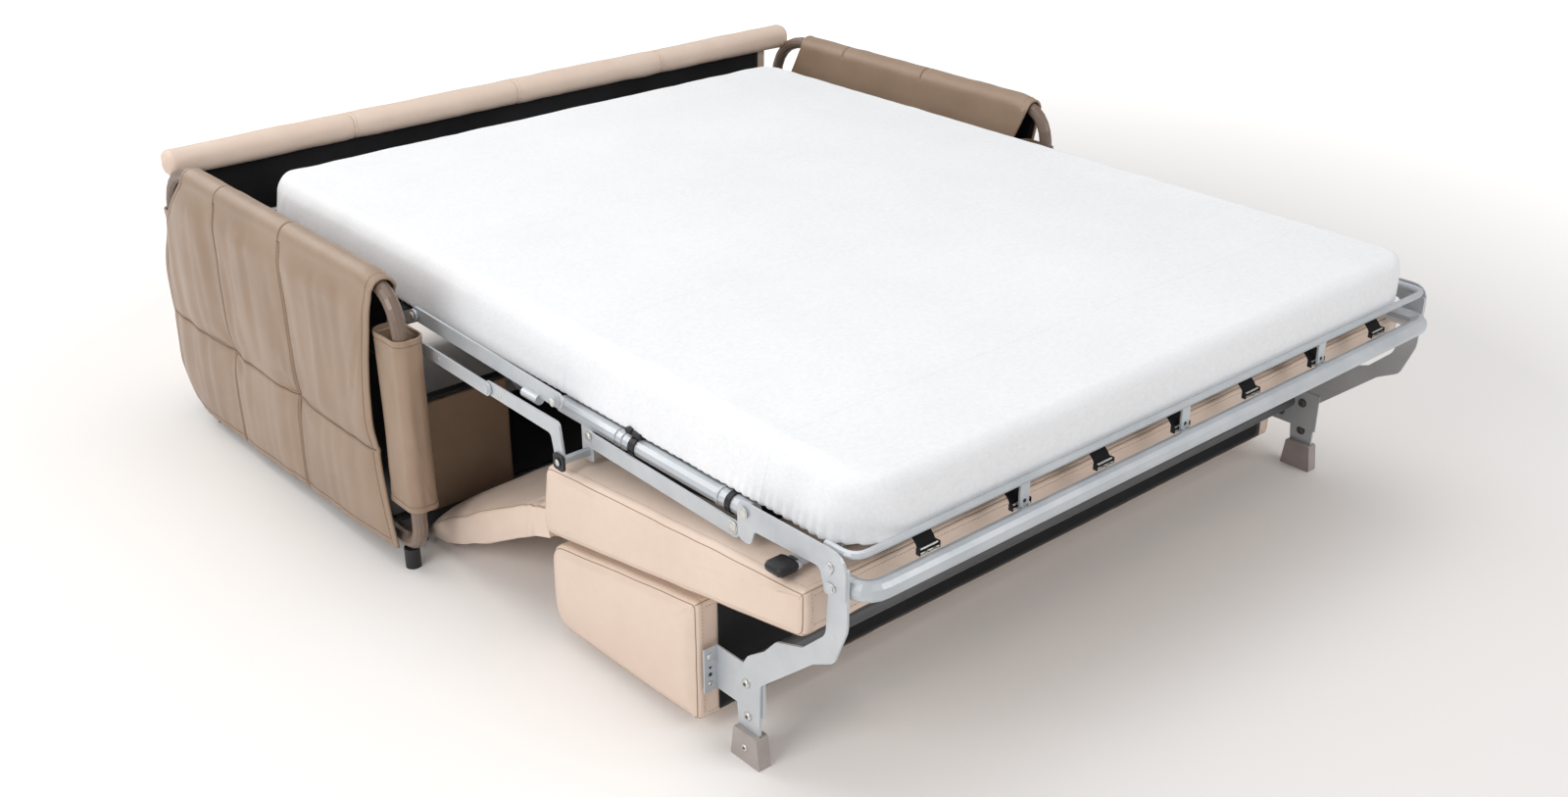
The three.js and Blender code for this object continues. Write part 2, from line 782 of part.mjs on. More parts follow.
function linkBoot(side) {
  const half = barHeight * bootShare;
  const [y, z] = bootPivot;
  const inner = crankOuterX + touchGap;
  const outer = inner + linkThickness;
  const shape = rounded(
    [[y - half, z - half], [y + half, z - half], [y + half, z + half], [y - half, z + half]],
    half / 2,
  );
  const head = rivet(side, outer, bootPivot, rivetHeadRadius, lowHeadHeight);
  return fuse(plateX(shape, side * inner, side * outer), head);
}

// The bridge bar carries a short tube along the edge of the bed
function bridgeBar(side) {
  const outer = bridgePlaneX + linkThickness;
  const body = bar(bridgePivot, bridgeEnd, bridgeBarHeight, side * bridgePlaneX, side * outer);
  const tube = sweep(
    bridgeTubeY.map((y) => new THREE.Vector3(side * outer, y, bridgePivot[1] - bridgeTubeDrop)),
    upZ,
    bridgeTubeRadius,
  );
  return fuse(body, tube, rivet(side, outer, bridgePivot), rivet(side, outer, bridgeEnd));
}

for (const [hand, side] of sides) {
  place(`lower_bar_${hand}`, lowerBar(side), greyPaint);
  place(`seat_crank_${hand}`, seatCrank(side), greyPaint);
  place(`link_boot_${hand}`, linkBoot(side), blackPlastic);
  place(`bridge_bar_${hand}`, bridgeBar(side), greyPaint);
}

// Seat section: side rails, deck net, board and cushion. A bracket under
// each rail carries the pin that the crank turns on
const middleRailZ = deckZ - middleRailRadius;
function middleRail(side) {
  const x = side * middleRailHalfSpacing;
  const frontY = footPivot[0] + bossRadius + runGap;
  const ends = [middleRailRearY, frontY];
  const tube = sweep(ends.map((y) => new THREE.Vector3(x, y, middleRailZ)), upZ, middleRailRadius);
  const [y, z] = bootPivot;
  const half = seatBracketWidth / 2;
  const outer = middleRailHalfSpacing + middleRailRadius / 2;
  const shape = rounded(
    [[y - half, z - half], [y + half, z - half], [y + half, middleRailZ], [y - half, middleRailZ]],
    [half / 2, half / 2, 0, 0],
  );
  const bracket = plateX(shape, side * (outer - seatBracketThickness), side * outer);
  const pin = rodX(
    side * (outer - seatBracketThickness / 2),
    side * (crankPlaneX - touchGap),
    y,
    z,
    seatPinRadius,
  );
  return fuse(tube, bracket, pin);
}

// A net of straps across the bed, held together by lengthwise tapes
function net(front, rear, halfWidth, straps) {
  const half = netStrapWidth / 2;
  const pitch = (rear - front - netStrapWidth) / (straps - 1);
  const across = Array.from({ length: straps }, (_, i) => {
    const y = front + half + i * pitch;
    return box(-halfWidth, halfWidth, y - half, y + half, deckZ - netStrapThickness, deckZ);
  });
  const along = Array.from({ length: netTapes }, (_, i) => {
    const x = (2 * i / (netTapes - 1) - 1) * (halfWidth - 2 * netStrapWidth);
    const low = deckZ - 2 * netStrapThickness;
    return box(x - half, x + half, front, rear, low, deckZ - netStrapThickness / 2);
  });
  return fuse(...across, ...along);
}

function middleNet() {
  const reach = middleRailHalfSpacing - middleRailRadius - touchGap;
  return net(footPivot[0] + bossRadius, middleRailRearY, reach, middleNetStraps);
}

const seatCorners = [
  [seatFootY, seatFootBottomZ],
  [seatRearY, seatRearBottomZ],
  [seatRearY, seatRearTopZ],
  [seatFootY, seatFootTopZ],
];
function seatBoard() {
  const rise = (seatFootTopZ - seatRearTopZ) / (seatRearY - seatFootY);
  const lift = seatCrown + runGap;
  const y0 = footPivot[0] + 2 * bossRadius;
  const y1 = seatRearY - seatRound * 2;
  const at = (y) => seatRearTopZ + rise * (seatRearY - y) + lift;
  const flat = [[y0, at(y0)], [y1, at(y1)], [y1, at(y1) + boardThickness], [y0, at(y0) + boardThickness]];
  const reach = middleRailHalfSpacing - 2 * middleRailRadius;
  return plateX(flat.map((p) => new THREE.Vector2(...p)), -reach, reach);
}

// Flat cross bar with a thick rounded grip at each end over the cushion
function endGrip(side, z) {
  const inner = side * (seatHalfWidth - endCapLength);
  const wide = endBarWidth * endGripShare;
  const tip = inner + side * endCapLength;
  const flat = rounded(
    [[inner, endBarY - wide], [tip, endBarY - wide], [tip, endBarY + wide], [inner, endBarY + wide]],
    [endBarThickness, endBarWidth / 2, endBarWidth / 2, endBarThickness],
  );
  const middle = new THREE.Vector2(inner + (side * endCapLength) / 2, endBarY);
  return loft(endGripRingShares.map(([lift, share]) => xyPoints(
    flat.map((p) => p.clone().sub(middle).multiplyScalar(share).add(middle)),
    z + lift * endBarThickness,
  )));
}

function endBar() {
  const z = seatFootTopZ + seatCrown + runGap;
  const reach = seatHalfWidth - endCapLength / 2;
  const half = endBarWidth / 2;
  const strip = box(-reach, reach, endBarY - half, endBarY + half, z, z + endBarThickness);
  return fuse(strip, endGrip(-1, z), endGrip(1, z));
}

function longLink(side) {
  const outer = longLinkX + longLinkThickness;
  const body = bar(linkRear, linkFront, longLinkHeight, side * longLinkX, side * outer);
  const heads = [linkRear, linkFront].map((at) => rivet(side, outer, at, rivetHeadRadius, lowHeadHeight));
  return fuse(body, ...heads);
}

const seatRounds = [seatHeelRound, seatRound, seatRound, seatRound];
place('seat_cushion', padded(seatCorners, seatRounds, seatHalfWidth, seatCrown, seatRound), beigeLeather);
place('seat_board', seatBoard(), blackCloth);
place('end_bar', endBar(), greyPaint);
place('middle_net', middleNet(), blackCloth);
for (const [hand, side] of sides) {
  place(`middle_rail_${hand}`, middleRail(side), greyPaint);
  place(`long_link_${hand}`, longLink(side), greyPaint);
}

// Head section: two side rails and two cross tubes round a strap net.
// An ear at the front of each rail holds the pivot of the bridge bar
const headRailZ = deckZ - headRailRadius;
function headRail(side) {
  const x = side * headRailHalfSpacing;
  const ends = [headRailFrontY, headRailRearY - headRailRadius - touchGap];
  const tube = sweep(ends.map((y) => new THREE.Vector3(x, y, headRailZ)), upZ, headRailRadius);
  const earX = bridgePlaneX + linkThickness + rivetHeadHeight + touchGap;
  const root = [headRailFrontY + 2 * headRailRadius, headRailZ];
  const ear = bar(root, bridgePivot, earHeight, side * earX, side * (earX + earThickness));
  return fuse(tube, ear);
}

const headCrossReach = headRailHalfSpacing - headRailRadius - touchGap;
function headCross(y) {
  return rodX(-headCrossReach, headCrossReach, y, headRailZ, headRailRadius, 12);
}

// Two nets, with a slot between them for the folded foot section
for (const [hand, side] of sides) {
  place(`head_rail_${hand}`, headRail(side), greyPaint);
}
place('head_end_tube', headCross(headRailRearY), greyPaint);
place('head_front_tube', headCross(headRailFrontY + headRailRadius), greyPaint);
const headNetFrontY = headRailFrontY + 2 * headRailRadius + runGap;
const headNetRearY = headRailRearY - headRailRadius - runGap;
place('head_net_front', net(headNetFrontY, slotFrontY, headCrossReach, headNetStraps), blackCloth);
place('head_net_rear', net(slotRearY, headNetRearY, headCrossReach, headNetStraps), blackCloth);

// Foot section: side plates, rails, legs and the backrest block.
// Outlines here are shares of a depth and a height from the heel
const legPlateOuterX = footPlateX - touchGap;
const legPlateInnerX = legPlateOuterX - legPlateThickness;
const fromHeel = (lowZ, depth, height) => ([along, up]) => (
  [footPlateHeelY + along * depth, lowZ + up * height]
);

function footPlate(side) {
  const outer = footPlateX + footPlateThickness;
  const at = fromHeel(footPlateLowZ, footPlateDepth, footPlateHeight);
  const radii = footPlateRoundShares.map((share) => share * footPlateHeight);
  const outline = rounded(footPlateShares.map(at), radii);
  const body = plateX(outline, side * footPlateX, side * outer);
  const heads = [...footPlateBoltShares.map(at), footPivot];
  return fuse(body, ...heads.map((head) => rivet(side, outer, head)));
}

function legPlate(side) {
  const at = fromHeel(legPlateBottomZ, legPlateDepth, legPlateHeight);
  const radii = legPlateRoundShares.map((share) => share * legPlateDepth);
  const outline = rounded(legPlateShares.map(at), radii);
  return plateX(outline, side * legPlateInnerX, side * legPlateOuterX);
}

// A U of tube or wire round the foot of the bed
function footLoop(y, z, radius, bend, sidesRound) {
  const half = legPlateInnerX - touchGap - radius;
  const rear = footPlateHeelY + footRailReach;
  const flat = rounded([[-half, rear], [-half, y], [half, y], [half, rear]], [0, bend, bend, 0]);
  return sweep(xyPoints(flat, z), upZ, radius, { sides: sidesRound });
}

function footRail() {
  return footLoop(footRailY, footRailZ, footRailRadius, footRailBend, 12);
}

function retainer() {
  const wire = footLoop(retainerY, retainerZ, retainerRadius, retainerBend, 8);
  const low = footRailZ + footRailRadius + touchGap;
  const uprights = Array.from({ length: uprightPlaces }, (_, i) => {
    const x = (i - (uprightPlaces - 1) / 2) * strapPitch * 2;
    const wide = uprightWidth / 2;
    return box(x - wide, x + wide, retainerY - uprightThickness, retainerY, low, retainerZ);
  });
  return fuse(wire, ...uprights);
}

// A cloth hem with seven tongues that reach for the rail
function footNet() {
  const top = deckZ - runGap;
  const hemFrontY = footPivot[0] - 2 * bossRadius - netStrapWidth;
  const hemRearY = footPivot[0] - 2 * bossRadius;
  const half = footPlateX - footNetInset;
  const hem = box(-half, half, hemFrontY, hemRearY, top - netStrapThickness, top);
  const end = footRailY + footRailRadius + runGap;
  const tongues = Array.from({ length: strapCount }, (_, i) => {
    const x = (i - (strapCount - 1) / 2) * strapPitch;
    const wide = strapWidth / 2;
    return box(x - wide, x + wide, end, hemRearY - netStrapWidth / 2, top - netStrapThickness, top);
  });
  return fuse(hem, ...tongues);
}

// The foot is a tapered block with a slot that takes the leg plate
function legFoot(side) {
  const middle = (legPlateInnerX + legPlateOuterX) / 2;
  const half = legFootThickness / 2;
  const wide = legFootWidth / 2;
  const narrow = wide * legFootTopShare;
  const shape = rounded(
    [
      [legFootY - wide, 0], [legFootY + wide, 0],
      [legFootY + narrow, legFootHeight], [legFootY - narrow, legFootHeight],
    ],
    [legFootRound / 2, legFootRound / 2, legFootRound, legFootRound],
  );
  const slot = box(
    side * (legPlateInnerX - touchGap),
    side * (legPlateOuterX + touchGap),
    legFootY - legFootSlotWidth / 2,
    legFootY + legFootSlotWidth / 2,
    legPlateBottomZ - runGap,
    legFootHeight + cutOverrun,
  );
  return cut(plateX(shape, side * (middle - half), side * (middle + half)), slot);
}

function legBracket(side) {
  const outer = legPlateInnerX - touchGap;
  const inner = outer - bracketThickness;
  const rearY = blockFrontY - blockCrown - runGap;
  const web = box(side * inner, side * outer, bracketFrontY, rearY, bracketBottomZ, bracketTopZ);
  const flange = box(
    side * inner,
    side * (outer + bracketFlange),
    rearY - bracketThickness,
    rearY,
    bracketBottomZ,
    bracketTopZ,
  );
  return fuse(web, flange);
}

function crossTube() {
  const reach = legPlateInnerX - bracketThickness - 2 * touchGap;
  return rodX(-reach, reach, crossTubeY, crossTubeZ, crossTubeRadius);
}

// The block lies just under the sloping face of the seat cushion
function blockTopZ(y) {
  const rise = (seatFootBottomZ - seatRearBottomZ) / (seatRearY - seatFootY);
  return seatRearBottomZ + rise * (seatRearY - y) - seatCrown - blockCrown - blockGap;
}
const blockCorners = [
  [blockFrontY, blockBottomZ], [blockRearY, blockBottomZ],
  [blockRearY, blockTopZ(blockRearY)], [blockFrontY, blockTopZ(blockFrontY)],
];
place(
  'backrest_block',
  padded(blockCorners, blockRound, blockHalfWidth, blockCrown, blockRound),
  beigeLeather,
);
place('foot_rail', footRail(), greyPaint);
place('retainer_bar', retainer(), greyPaint);
place('foot_net', footNet(), blackCloth);
place('cross_tube', crossTube(), greyPaint);
for (const [hand, side] of sides) {
  place(`foot_plate_${hand}`, footPlate(side), greyPaint);
  place(`leg_plate_${hand}`, legPlate(side), greyPaint);
  place(`leg_foot_${hand}`, legFoot(side), footPlastic);
  place(`leg_bracket_${hand}`, legBracket(side), greyPaint);
}

// Mattress, in four lengths that meet at the folds. The outer ends are
// tucked in a little; shares count along the length from either end
function mattressPiece(y0, y1, tuckedStart, tuckedEnd) {
  const low = deckZ + deckGap;
  const high = low + mattressThickness;
  const bend = mattressThickness * mattressEdgeShare;
  const flat = rounded(
    [
      [-mattressHalfWidth, low], [mattressHalfWidth, low],
      [mattressHalfWidth, high], [-mattressHalfWidth, high],
    ],
    bend,
    3,
  );
  const middle = new THREE.Vector2(0, (low + high) / 2);
  const last = mattressRingShares.length - 1;
  return loft(mattressRingShares.map((share, ring) => {
    const fromStart = (tuckedStart && mattressTuckShares[ring]) || 0;
    const fromEnd = (tuckedEnd && mattressTuckShares[last - ring]) || 0;
    const tuck = fromStart + fromEnd;
    return flat.map((p) => {
      const away = p.clone().sub(middle);
      const x = away.x - Math.sign(away.x) * tuck * bend * mattressTuckWidth;
      const z = middle.y + away.y * (1 - tuck * mattressTuckHeightShare);
      return new THREE.Vector3(x, THREE.MathUtils.lerp(y0, y1, share), z);
    });
  }));
}

const halfSplit = mattressSplit / 2;
const foldY = [headRailFrontY, middleRailRearY, footPivot[0]];
place('mattress_head', mattressPiece(foldY[0] + halfSplit, mattressHeadY, false, true), sheetCloth);
place('mattress_fold', mattressPiece(foldY[1] + halfSplit, foldY[0] - halfSplit, false, false), sheetCloth);
place(
  'mattress_middle',
  mattressPiece(foldY[2] + halfSplit, foldY[1] - halfSplit, false, false),
  sheetCloth,
);
place('mattress_foot', mattressPiece(mattressFootY, foldY[2] - halfSplit, true, false), sheetCloth);

// Apron: a padded flap from the base to the seat's front edge
function apron() {
  const [y0, z0] = apronPivot;
  const [y1, z1] = apronEnd;
  const upper = [];
  const lower = [];
  for (let i = 0; i <= apronSteps; i++) {
    const t = i / apronSteps;
    const bulge = Math.sin(Math.PI * t);
    const y = THREE.MathUtils.lerp(y0, y1, t);
    const z = THREE.MathUtils.lerp(z0, z1, t) - apronSag * bulge;
    const half = (apronThickness / 2) * THREE.MathUtils.lerp(apronThinShare, 1, bulge);
    upper.push(new THREE.Vector2(y, z + half));
    lower.unshift(new THREE.Vector2(y, z - half));
  }
  const outline = [...upper, ...lower];
  return loft(apronRingShares.map((share) => {
    const size = Math.abs(share) === 1 ? apronEndShare : 1;
    return outline.map((p, i) => {
      const pair = outline[outline.length - 1 - i];
      const z = (p.y + pair.y) / 2 + ((p.y - pair.y) / 2) * size;
      return new THREE.Vector3(share * apronHalfWidth, p.x, z);
    });
  }));
}
place('apron', apron(), beigeLeather);

// Bring the origin under the middle of the outline
const outlineFrontY = footRailY - footRailRadius;
const outlineRearY = rearSleeveY + rearSleeveDepth / 2;
for (const mesh of group.children) {
  mesh.geometry.translate(0, -(outlineFrontY + outlineRearY) / 2, 0);
}

export default group;
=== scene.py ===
"""Sleeper sofa with a pull-out bed, open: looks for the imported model.

Lengths of the pieces are millimetres, and y is 0 on a line ORIGIN_Y behind the frame's
centre, under the head of the bed; metres() turns their points into the frame. Camera, floor
and lamps are placed in the frame's metres. All noise has fixed seeds.
"""
import json
import math
import bmesh
import bpy
import numpy as np
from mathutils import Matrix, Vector, noise

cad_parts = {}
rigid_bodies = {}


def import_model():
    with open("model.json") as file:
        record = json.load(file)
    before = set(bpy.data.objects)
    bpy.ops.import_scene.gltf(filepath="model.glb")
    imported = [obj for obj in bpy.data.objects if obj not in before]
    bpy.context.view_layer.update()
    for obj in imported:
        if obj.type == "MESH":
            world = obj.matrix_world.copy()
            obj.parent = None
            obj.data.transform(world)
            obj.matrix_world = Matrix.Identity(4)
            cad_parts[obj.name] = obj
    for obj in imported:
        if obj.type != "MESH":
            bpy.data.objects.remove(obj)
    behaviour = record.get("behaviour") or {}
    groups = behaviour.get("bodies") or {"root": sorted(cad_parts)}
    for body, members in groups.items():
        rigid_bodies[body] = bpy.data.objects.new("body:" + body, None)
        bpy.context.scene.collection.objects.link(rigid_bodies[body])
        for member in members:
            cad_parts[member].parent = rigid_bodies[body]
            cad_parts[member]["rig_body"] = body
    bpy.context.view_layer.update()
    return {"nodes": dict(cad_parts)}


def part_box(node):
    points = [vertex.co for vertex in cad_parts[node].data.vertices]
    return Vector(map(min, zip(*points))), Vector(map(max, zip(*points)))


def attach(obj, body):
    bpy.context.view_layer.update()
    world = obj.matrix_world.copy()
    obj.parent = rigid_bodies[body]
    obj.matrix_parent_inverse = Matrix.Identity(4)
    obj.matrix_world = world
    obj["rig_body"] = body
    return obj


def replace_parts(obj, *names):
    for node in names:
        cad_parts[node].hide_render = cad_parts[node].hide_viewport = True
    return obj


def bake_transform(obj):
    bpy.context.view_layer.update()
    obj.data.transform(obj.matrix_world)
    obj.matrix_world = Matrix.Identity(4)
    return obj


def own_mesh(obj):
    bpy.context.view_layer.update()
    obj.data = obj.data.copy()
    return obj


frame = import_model()
nodes = frame["nodes"]

ORIGIN_Y = 784.25
SIDES = (("left", -1), ("right", 1))


def metres(points):
    out = np.array(points, float).reshape(-1, 3)
    out[:, 1] += ORIGIN_Y
    return out / 1000


def add_object(name, data):
    made = bpy.data.objects.new(name, data)
    bpy.context.scene.collection.objects.link(made)
    return made


# ---------------- camera, floor and light

CAMERA_AT = (-2.2722, -2.59895, 1.7761)
CAMERA_PITCH = 25.6584
CAMERA_YAW = -41.1625
CAMERA_LENS = 38.87
WORLD_STRENGTH = 0.45
MIRRORED_SHARE = 0.15
FLOOR_TONE = (0.95, 0.93, 0.912)
FLOOR_HALF = 30
FLOOR_LIFT = 0.75
FLOOR_LIFT_FROM, FLOOR_LIFT_TO = 1.9, 4.5

camera = add_object("camera", bpy.data.cameras.new("camera"))
camera.location = CAMERA_AT
camera.rotation_euler = (math.radians(90 - CAMERA_PITCH), 0, math.radians(CAMERA_YAW))
camera.data.sensor_width = 36
camera.data.sensor_fit = "HORIZONTAL"
camera.data.lens = CAMERA_LENS
camera.data.clip_start = 0.05
camera.data.clip_end = 200
bpy.context.scene.camera = camera
bpy.context.scene.view_settings.view_transform = "Standard"


def linear(rgb):
    return tuple(((c / 255 + 0.055) / 1.055) ** 2.4 if c > 10 else c / 255 / 12.92
                 for c in rgb)


def rgba(value):
    """A colour gets its alpha; a socket or a number stays as it is."""
    return (*value, 1) if isinstance(value, tuple) else value


class Shader:
    """Short calls for a node tree."""

    def __init__(self, tree):
        self.tree = tree
        tree.nodes.clear()

    def put(self, socket, value):
        if isinstance(value, bpy.types.NodeSocket):
            self.tree.links.new(value, socket)
        else:
            socket.default_value = value

    def node(self, kind, inputs=None, **settings):
        made = self.tree.nodes.new(kind)
        for key, value in settings.items():
            setattr(made, key, value)
        for key, value in (inputs or {}).items():
            self.put(made.inputs[key], value)
        return made

    def ramp(self, factor, *stops):
        """Colours, or greys given as numbers, at places from 0 to 1."""
        made = self.node("ShaderNodeValToRGB", {"Fac": factor})
        ramp = made.color_ramp
        while len(ramp.elements) < len(stops):
            ramp.elements.new(0.5)
        for element, (place, colour) in zip(ramp.elements, stops):
            element.position = place
            element.color = rgba(colour if isinstance(colour, tuple) else (colour,) * 3)
        return made.outputs["Color"]

    def math(self, operation, a, b):
        return self.node("ShaderNodeMath", {0: a, 1: b}, operation=operation).outputs[0]

    def mix(self, factor, a, b, blend="MIX"):
        return self.node("ShaderNodeMix", {0: factor, 6: rgba(a), 7: rgba(b)},
                         data_type="RGBA", blend_type=blend).outputs[2]

    def noise(self, where, scale, detail, roughness, distortion=0.0):
        return self.node("ShaderNodeTexNoise", {
            "Vector": where, "Scale": scale, "Detail": detail, "Roughness": roughness,
            "Distortion": distortion}).outputs["Fac"]

    def between(self, value, low, high, **more):
        """A value from 0 to 1 taken to low and high."""
        return self.node("ShaderNodeMapRange", {
            "Value": value, "To Min": low, "To Max": high,
            **{key.replace("_", " "): at for key, at in more.items()}}).outputs[0]

    def camera_like(self):
        """1 for what the camera sees directly or through glass, less for a reflection."""
        path = self.node("ShaderNodeLightPath").outputs
        mirrored = self.math("MULTIPLY", path["Is Glossy Ray"], MIRRORED_SHARE)
        seen = self.math("MAXIMUM", path["Is Camera Ray"], mirrored)
        return self.math("MAXIMUM", seen, path["Is Transmission Ray"])


world = bpy.data.worlds.new("studio")
bpy.context.scene.world = world
world.use_nodes = True
sh = Shader(world.node_tree)
background = sh.node("ShaderNodeBackground", {
    "Color": (1, 1, 1, 1), "Strength": sh.between(sh.camera_like(), WORLD_STRENGTH, 1.0)})
sh.node("ShaderNodeOutputWorld", {0: background.outputs[0]})

floor_mesh = bpy.data.meshes.new("floor")
floor_mesh.from_pydata([(x * FLOOR_HALF, y * FLOOR_HALF, 0) for x, y in
                        ((-1, -1), (1, -1), (1, 1), (-1, 1))], [], [(0, 1, 2, 3)])
floor = add_object("floor", floor_mesh)
floor_material = bpy.data.materials.new("floor")
floor_material.use_nodes = True
sh = Shader(floor_material.node_tree)
# The floor turns white away from the object, for what the camera sees
place = sh.node("ShaderNodeTexCoord").outputs["Object"]
distance = sh.node("ShaderNodeVectorMath", {0: place}, operation="LENGTH").outputs["Value"]
lift = sh.between(distance, 0.0, FLOOR_LIFT, From_Min=FLOOR_LIFT_FROM, From_Max=FLOOR_LIFT_TO)
coat = sh.node("ShaderNodeBsdfPrincipled", {
    "Base Color": rgba(FLOOR_TONE), "Roughness": 0.85, "Specular IOR Level": 0.1,
    "Emission Color": (1, 1, 1, 1),
    "Emission Strength": sh.math("MULTIPLY", lift, sh.camera_like())})
sh.node("ShaderNodeOutputMaterial", {0: coat.outputs[0]})
floor_mesh.materials.append(floor_material)


def lamp(name, at, towards, size, power):
    data = bpy.data.lights.new(name, "AREA")
    data.shape = "RECTANGLE"
    data.size, data.size_y = size
    data.energy = power
    made = add_object(name, data)
    made.location = at
    made.rotation_mode = "QUATERNION"
    made.rotation_quaternion = (Vector(towards) - Vector(at)).to_track_quat("-Z", "Y")


lamp("overhead", (-0.2, 0.2, 4.2), (0, 0, 0), (3.4, 3.4), 46)
lamp("key", (-4.4, -0.9, 2.6), (0, -0.1, 0.3), (2.4, 2.0), 72)
lamp("fill", (1.4, -4.4, 3.2), (0, -0.3, 0.3), (3.0, 2.0), 56)
lamp("back", (-1.8, 3.6, 2.9), (-0.6, -0.3, 0.5), (3.4, 1.6), 62)

# ---------------- materials


class Look(Shader):
    """A material: a Principled shader, and where it is on the piece."""

    def __init__(self, name, **settings):
        self.material = bpy.data.materials.new(name)
        self.material.use_nodes = True
        super().__init__(self.material.node_tree)
        self.bsdf = self.node("ShaderNodeBsdfPrincipled", {
            key.replace("_", " "): value for key, value in settings.items()})
        self.node("ShaderNodeOutputMaterial", {0: self.bsdf.outputs[0]})
        self.where = self.node("ShaderNodeTexCoord").outputs["Object"]

    def spots(self, *settings):
        return self.noise(self.where, *settings)

    def finished(self, tone, rough, roughness, heights, distance, worn=None):
        """Rubbed edges, spread of roughness and bumps, built alike for every look."""
        if worn:
            light, start, end, share = worn
            edges = self.node("ShaderNodeNewGeometry").outputs["Pointiness"]
            rubbed = self.ramp(edges, (start, 0.0), (end, 1.0))
            tone = self.mix(self.math("MULTIPLY", rubbed, share), tone, linear(light))
        inputs = self.bsdf.inputs
        self.put(inputs["Base Color"], tone)
        self.put(inputs["Roughness"], self.between(rough, *roughness))
        normal = {}
        for height, strength in heights:
            bump = self.node("ShaderNodeBump", {"Height": height, "Strength": strength,
                                                "Distance": distance, **normal})
            normal = {"Normal": bump.outputs[0]}
        self.put(inputs["Normal"], normal["Normal"])
        return self.material


def leather(name, colour, dark, light, roughness=0.4):
    """Pebbled grain, soft creases and a slow change of tone."""
    s = Look(name, IOR=1.5, Specular_IOR_Level=0.5, Sheen_Weight=0.08, Sheen_Roughness=0.5)
    quick = s.spots(42, 4, 0.6)
    cells = s.node("ShaderNodeTexVoronoi", {"Vector": s.where, "Scale": 420.0},
                   feature="DISTANCE_TO_EDGE").outputs["Distance"]
    pebble = s.ramp(cells, (0.0, 0.0), (0.28, 1.0))
    tone = s.ramp(s.spots(5.5, 4, 0.55), (0.3, linear(dark)), (0.5, linear(colour)),
                  (0.72, linear(light)))
    gaps = s.math("MULTIPLY", s.math("SUBTRACT", 1.0, pebble), 0.2)
    tone = s.mix(gaps, tone, linear(dark))
    tone = s.mix(0.04, tone, s.ramp(quick, (0.35, 0.5), (0.65, 1.0)), "MULTIPLY")
    crease = s.spots(16.0, 5.0, 0.62, 0.6)
    return s.finished(tone, quick, (roughness - 0.06, roughness + 0.12),
                      [(crease, 0.22), (pebble, 0.16)], 0.004, (light, 0.5, 0.6, 0.35))


def painted_metal(name, colour, light, roughness, metallic):
    """Powder coat with an orange peel and a few rubbed edges."""
    s = Look(name, IOR=1.5, Metallic=metallic, Coat_Weight=0.12, Coat_Roughness=0.25)
    slow = s.spots(9, 4, 0.6)
    scuff = s.spots(55.0, 6.0, 0.7, 1.2)
    tone = s.ramp(slow, (0.3, linear(colour)), (0.75, linear(light)))
    marks = s.ramp(scuff, (0.62, 0.0), (0.72, 1.0))
    tone = s.mix(s.math("MULTIPLY", marks, 0.16), tone, (0.12, 0.12, 0.12))
    return s.finished(tone, scuff, (roughness - 0.05, roughness + 0.14),
                      [(s.spots(380, 2, 0.5), 0.12), (slow, 0.05)], 0.0012,
                      (light, 0.52, 0.62, 0.4))


def plastic(name, colour, light, roughness):
    """Moulded plastic with a fine spark-eroded texture."""
    s = Look(name, IOR=1.47, Specular_IOR_Level=0.45)
    slow = s.spots(22, 3, 0.5)
    tone = s.ramp(slow, (0.3, linear(colour)), (0.75, linear(light)))
    return s.finished(tone, slow, (roughness - 0.05, roughness + 0.1),
                      [(s.spots(900, 2, 0.5), 0.2)], 0.0006, (light, 0.53, 0.65, 0.3))


def cloth(name, colour, light, thread, depth, roughness, sheen, slow_scale=4.0):
    """Plain weave: crossed threads, a slub and a slow change of tone."""
    s = Look(name, IOR=1.45, Specular_IOR_Level=0.2, Sheen_Weight=sheen, Sheen_Roughness=0.4)
    weave = 0.0
    for stretch in ((1.0, 0.12, 0.12), (0.12, 1.0, 0.12), (0.12, 0.12, 1.0)):
        lie = s.node("ShaderNodeMapping", {"Vector": s.where, "Scale": stretch}).outputs[0]
        weave = s.math("ADD", weave, s.noise(lie, 1.0 / thread, 1, 0.4))
    weave = s.math("MULTIPLY", weave, 1 / 3)
    slub = s.spots(160, 3, 0.6)
    tone = s.ramp(s.spots(slow_scale, 4, 0.6), (0.3, linear(colour)), (0.7, linear(light)))
    tone = s.mix(0.12, tone, s.ramp(weave, (0.35, 0.5), (0.6, 1.0)), "MULTIPLY")
    tone = s.mix(0.08, tone, s.ramp(slub, (0.3, 0.6), (0.6, 1.0)), "MULTIPLY")
    return s.finished(tone, slub, (roughness - 0.05, roughness + 0.05),
                      [(weave, depth), (slub, depth * 0.5)], 0.0008)


TAUPE = leather("taupe_leather_look", (157, 132, 111), (150, 125, 104), (164, 140, 119), 0.31)
BEIGE = leather("beige_leather_look", (229, 207, 190), (225, 202, 185), (233, 212, 196))
ARM_PAINT = painted_metal("arm_paint_look", (112, 94, 82), (134, 115, 102), 0.3, 0.1)
STEEL = painted_metal("steel_look", (184, 189, 194), (206, 210, 214), 0.34, 0.35)
ZINC = painted_metal("zinc_look", (198, 198, 194), (226, 226, 222), 0.26, 0.9)
DARK_STEEL = painted_metal("dark_steel_look", (74, 76, 80), (98, 100, 104), 0.4, 0.3)
BLACK = plastic("black_plastic_look", (24, 24, 26), (44, 44, 46), 0.4)
FOOT = plastic("foot_plastic_look", (158, 149, 146), (174, 165, 162), 0.42)
BLACK_CLOTH = cloth("black_cloth_look", (26, 26, 28), (42, 42, 44), 0.0016, 0.5, 0.85, 0.15)
STRAP = cloth("strap_look", (16, 16, 18), (34, 34, 36), 0.0022, 0.6, 0.75, 0.1)
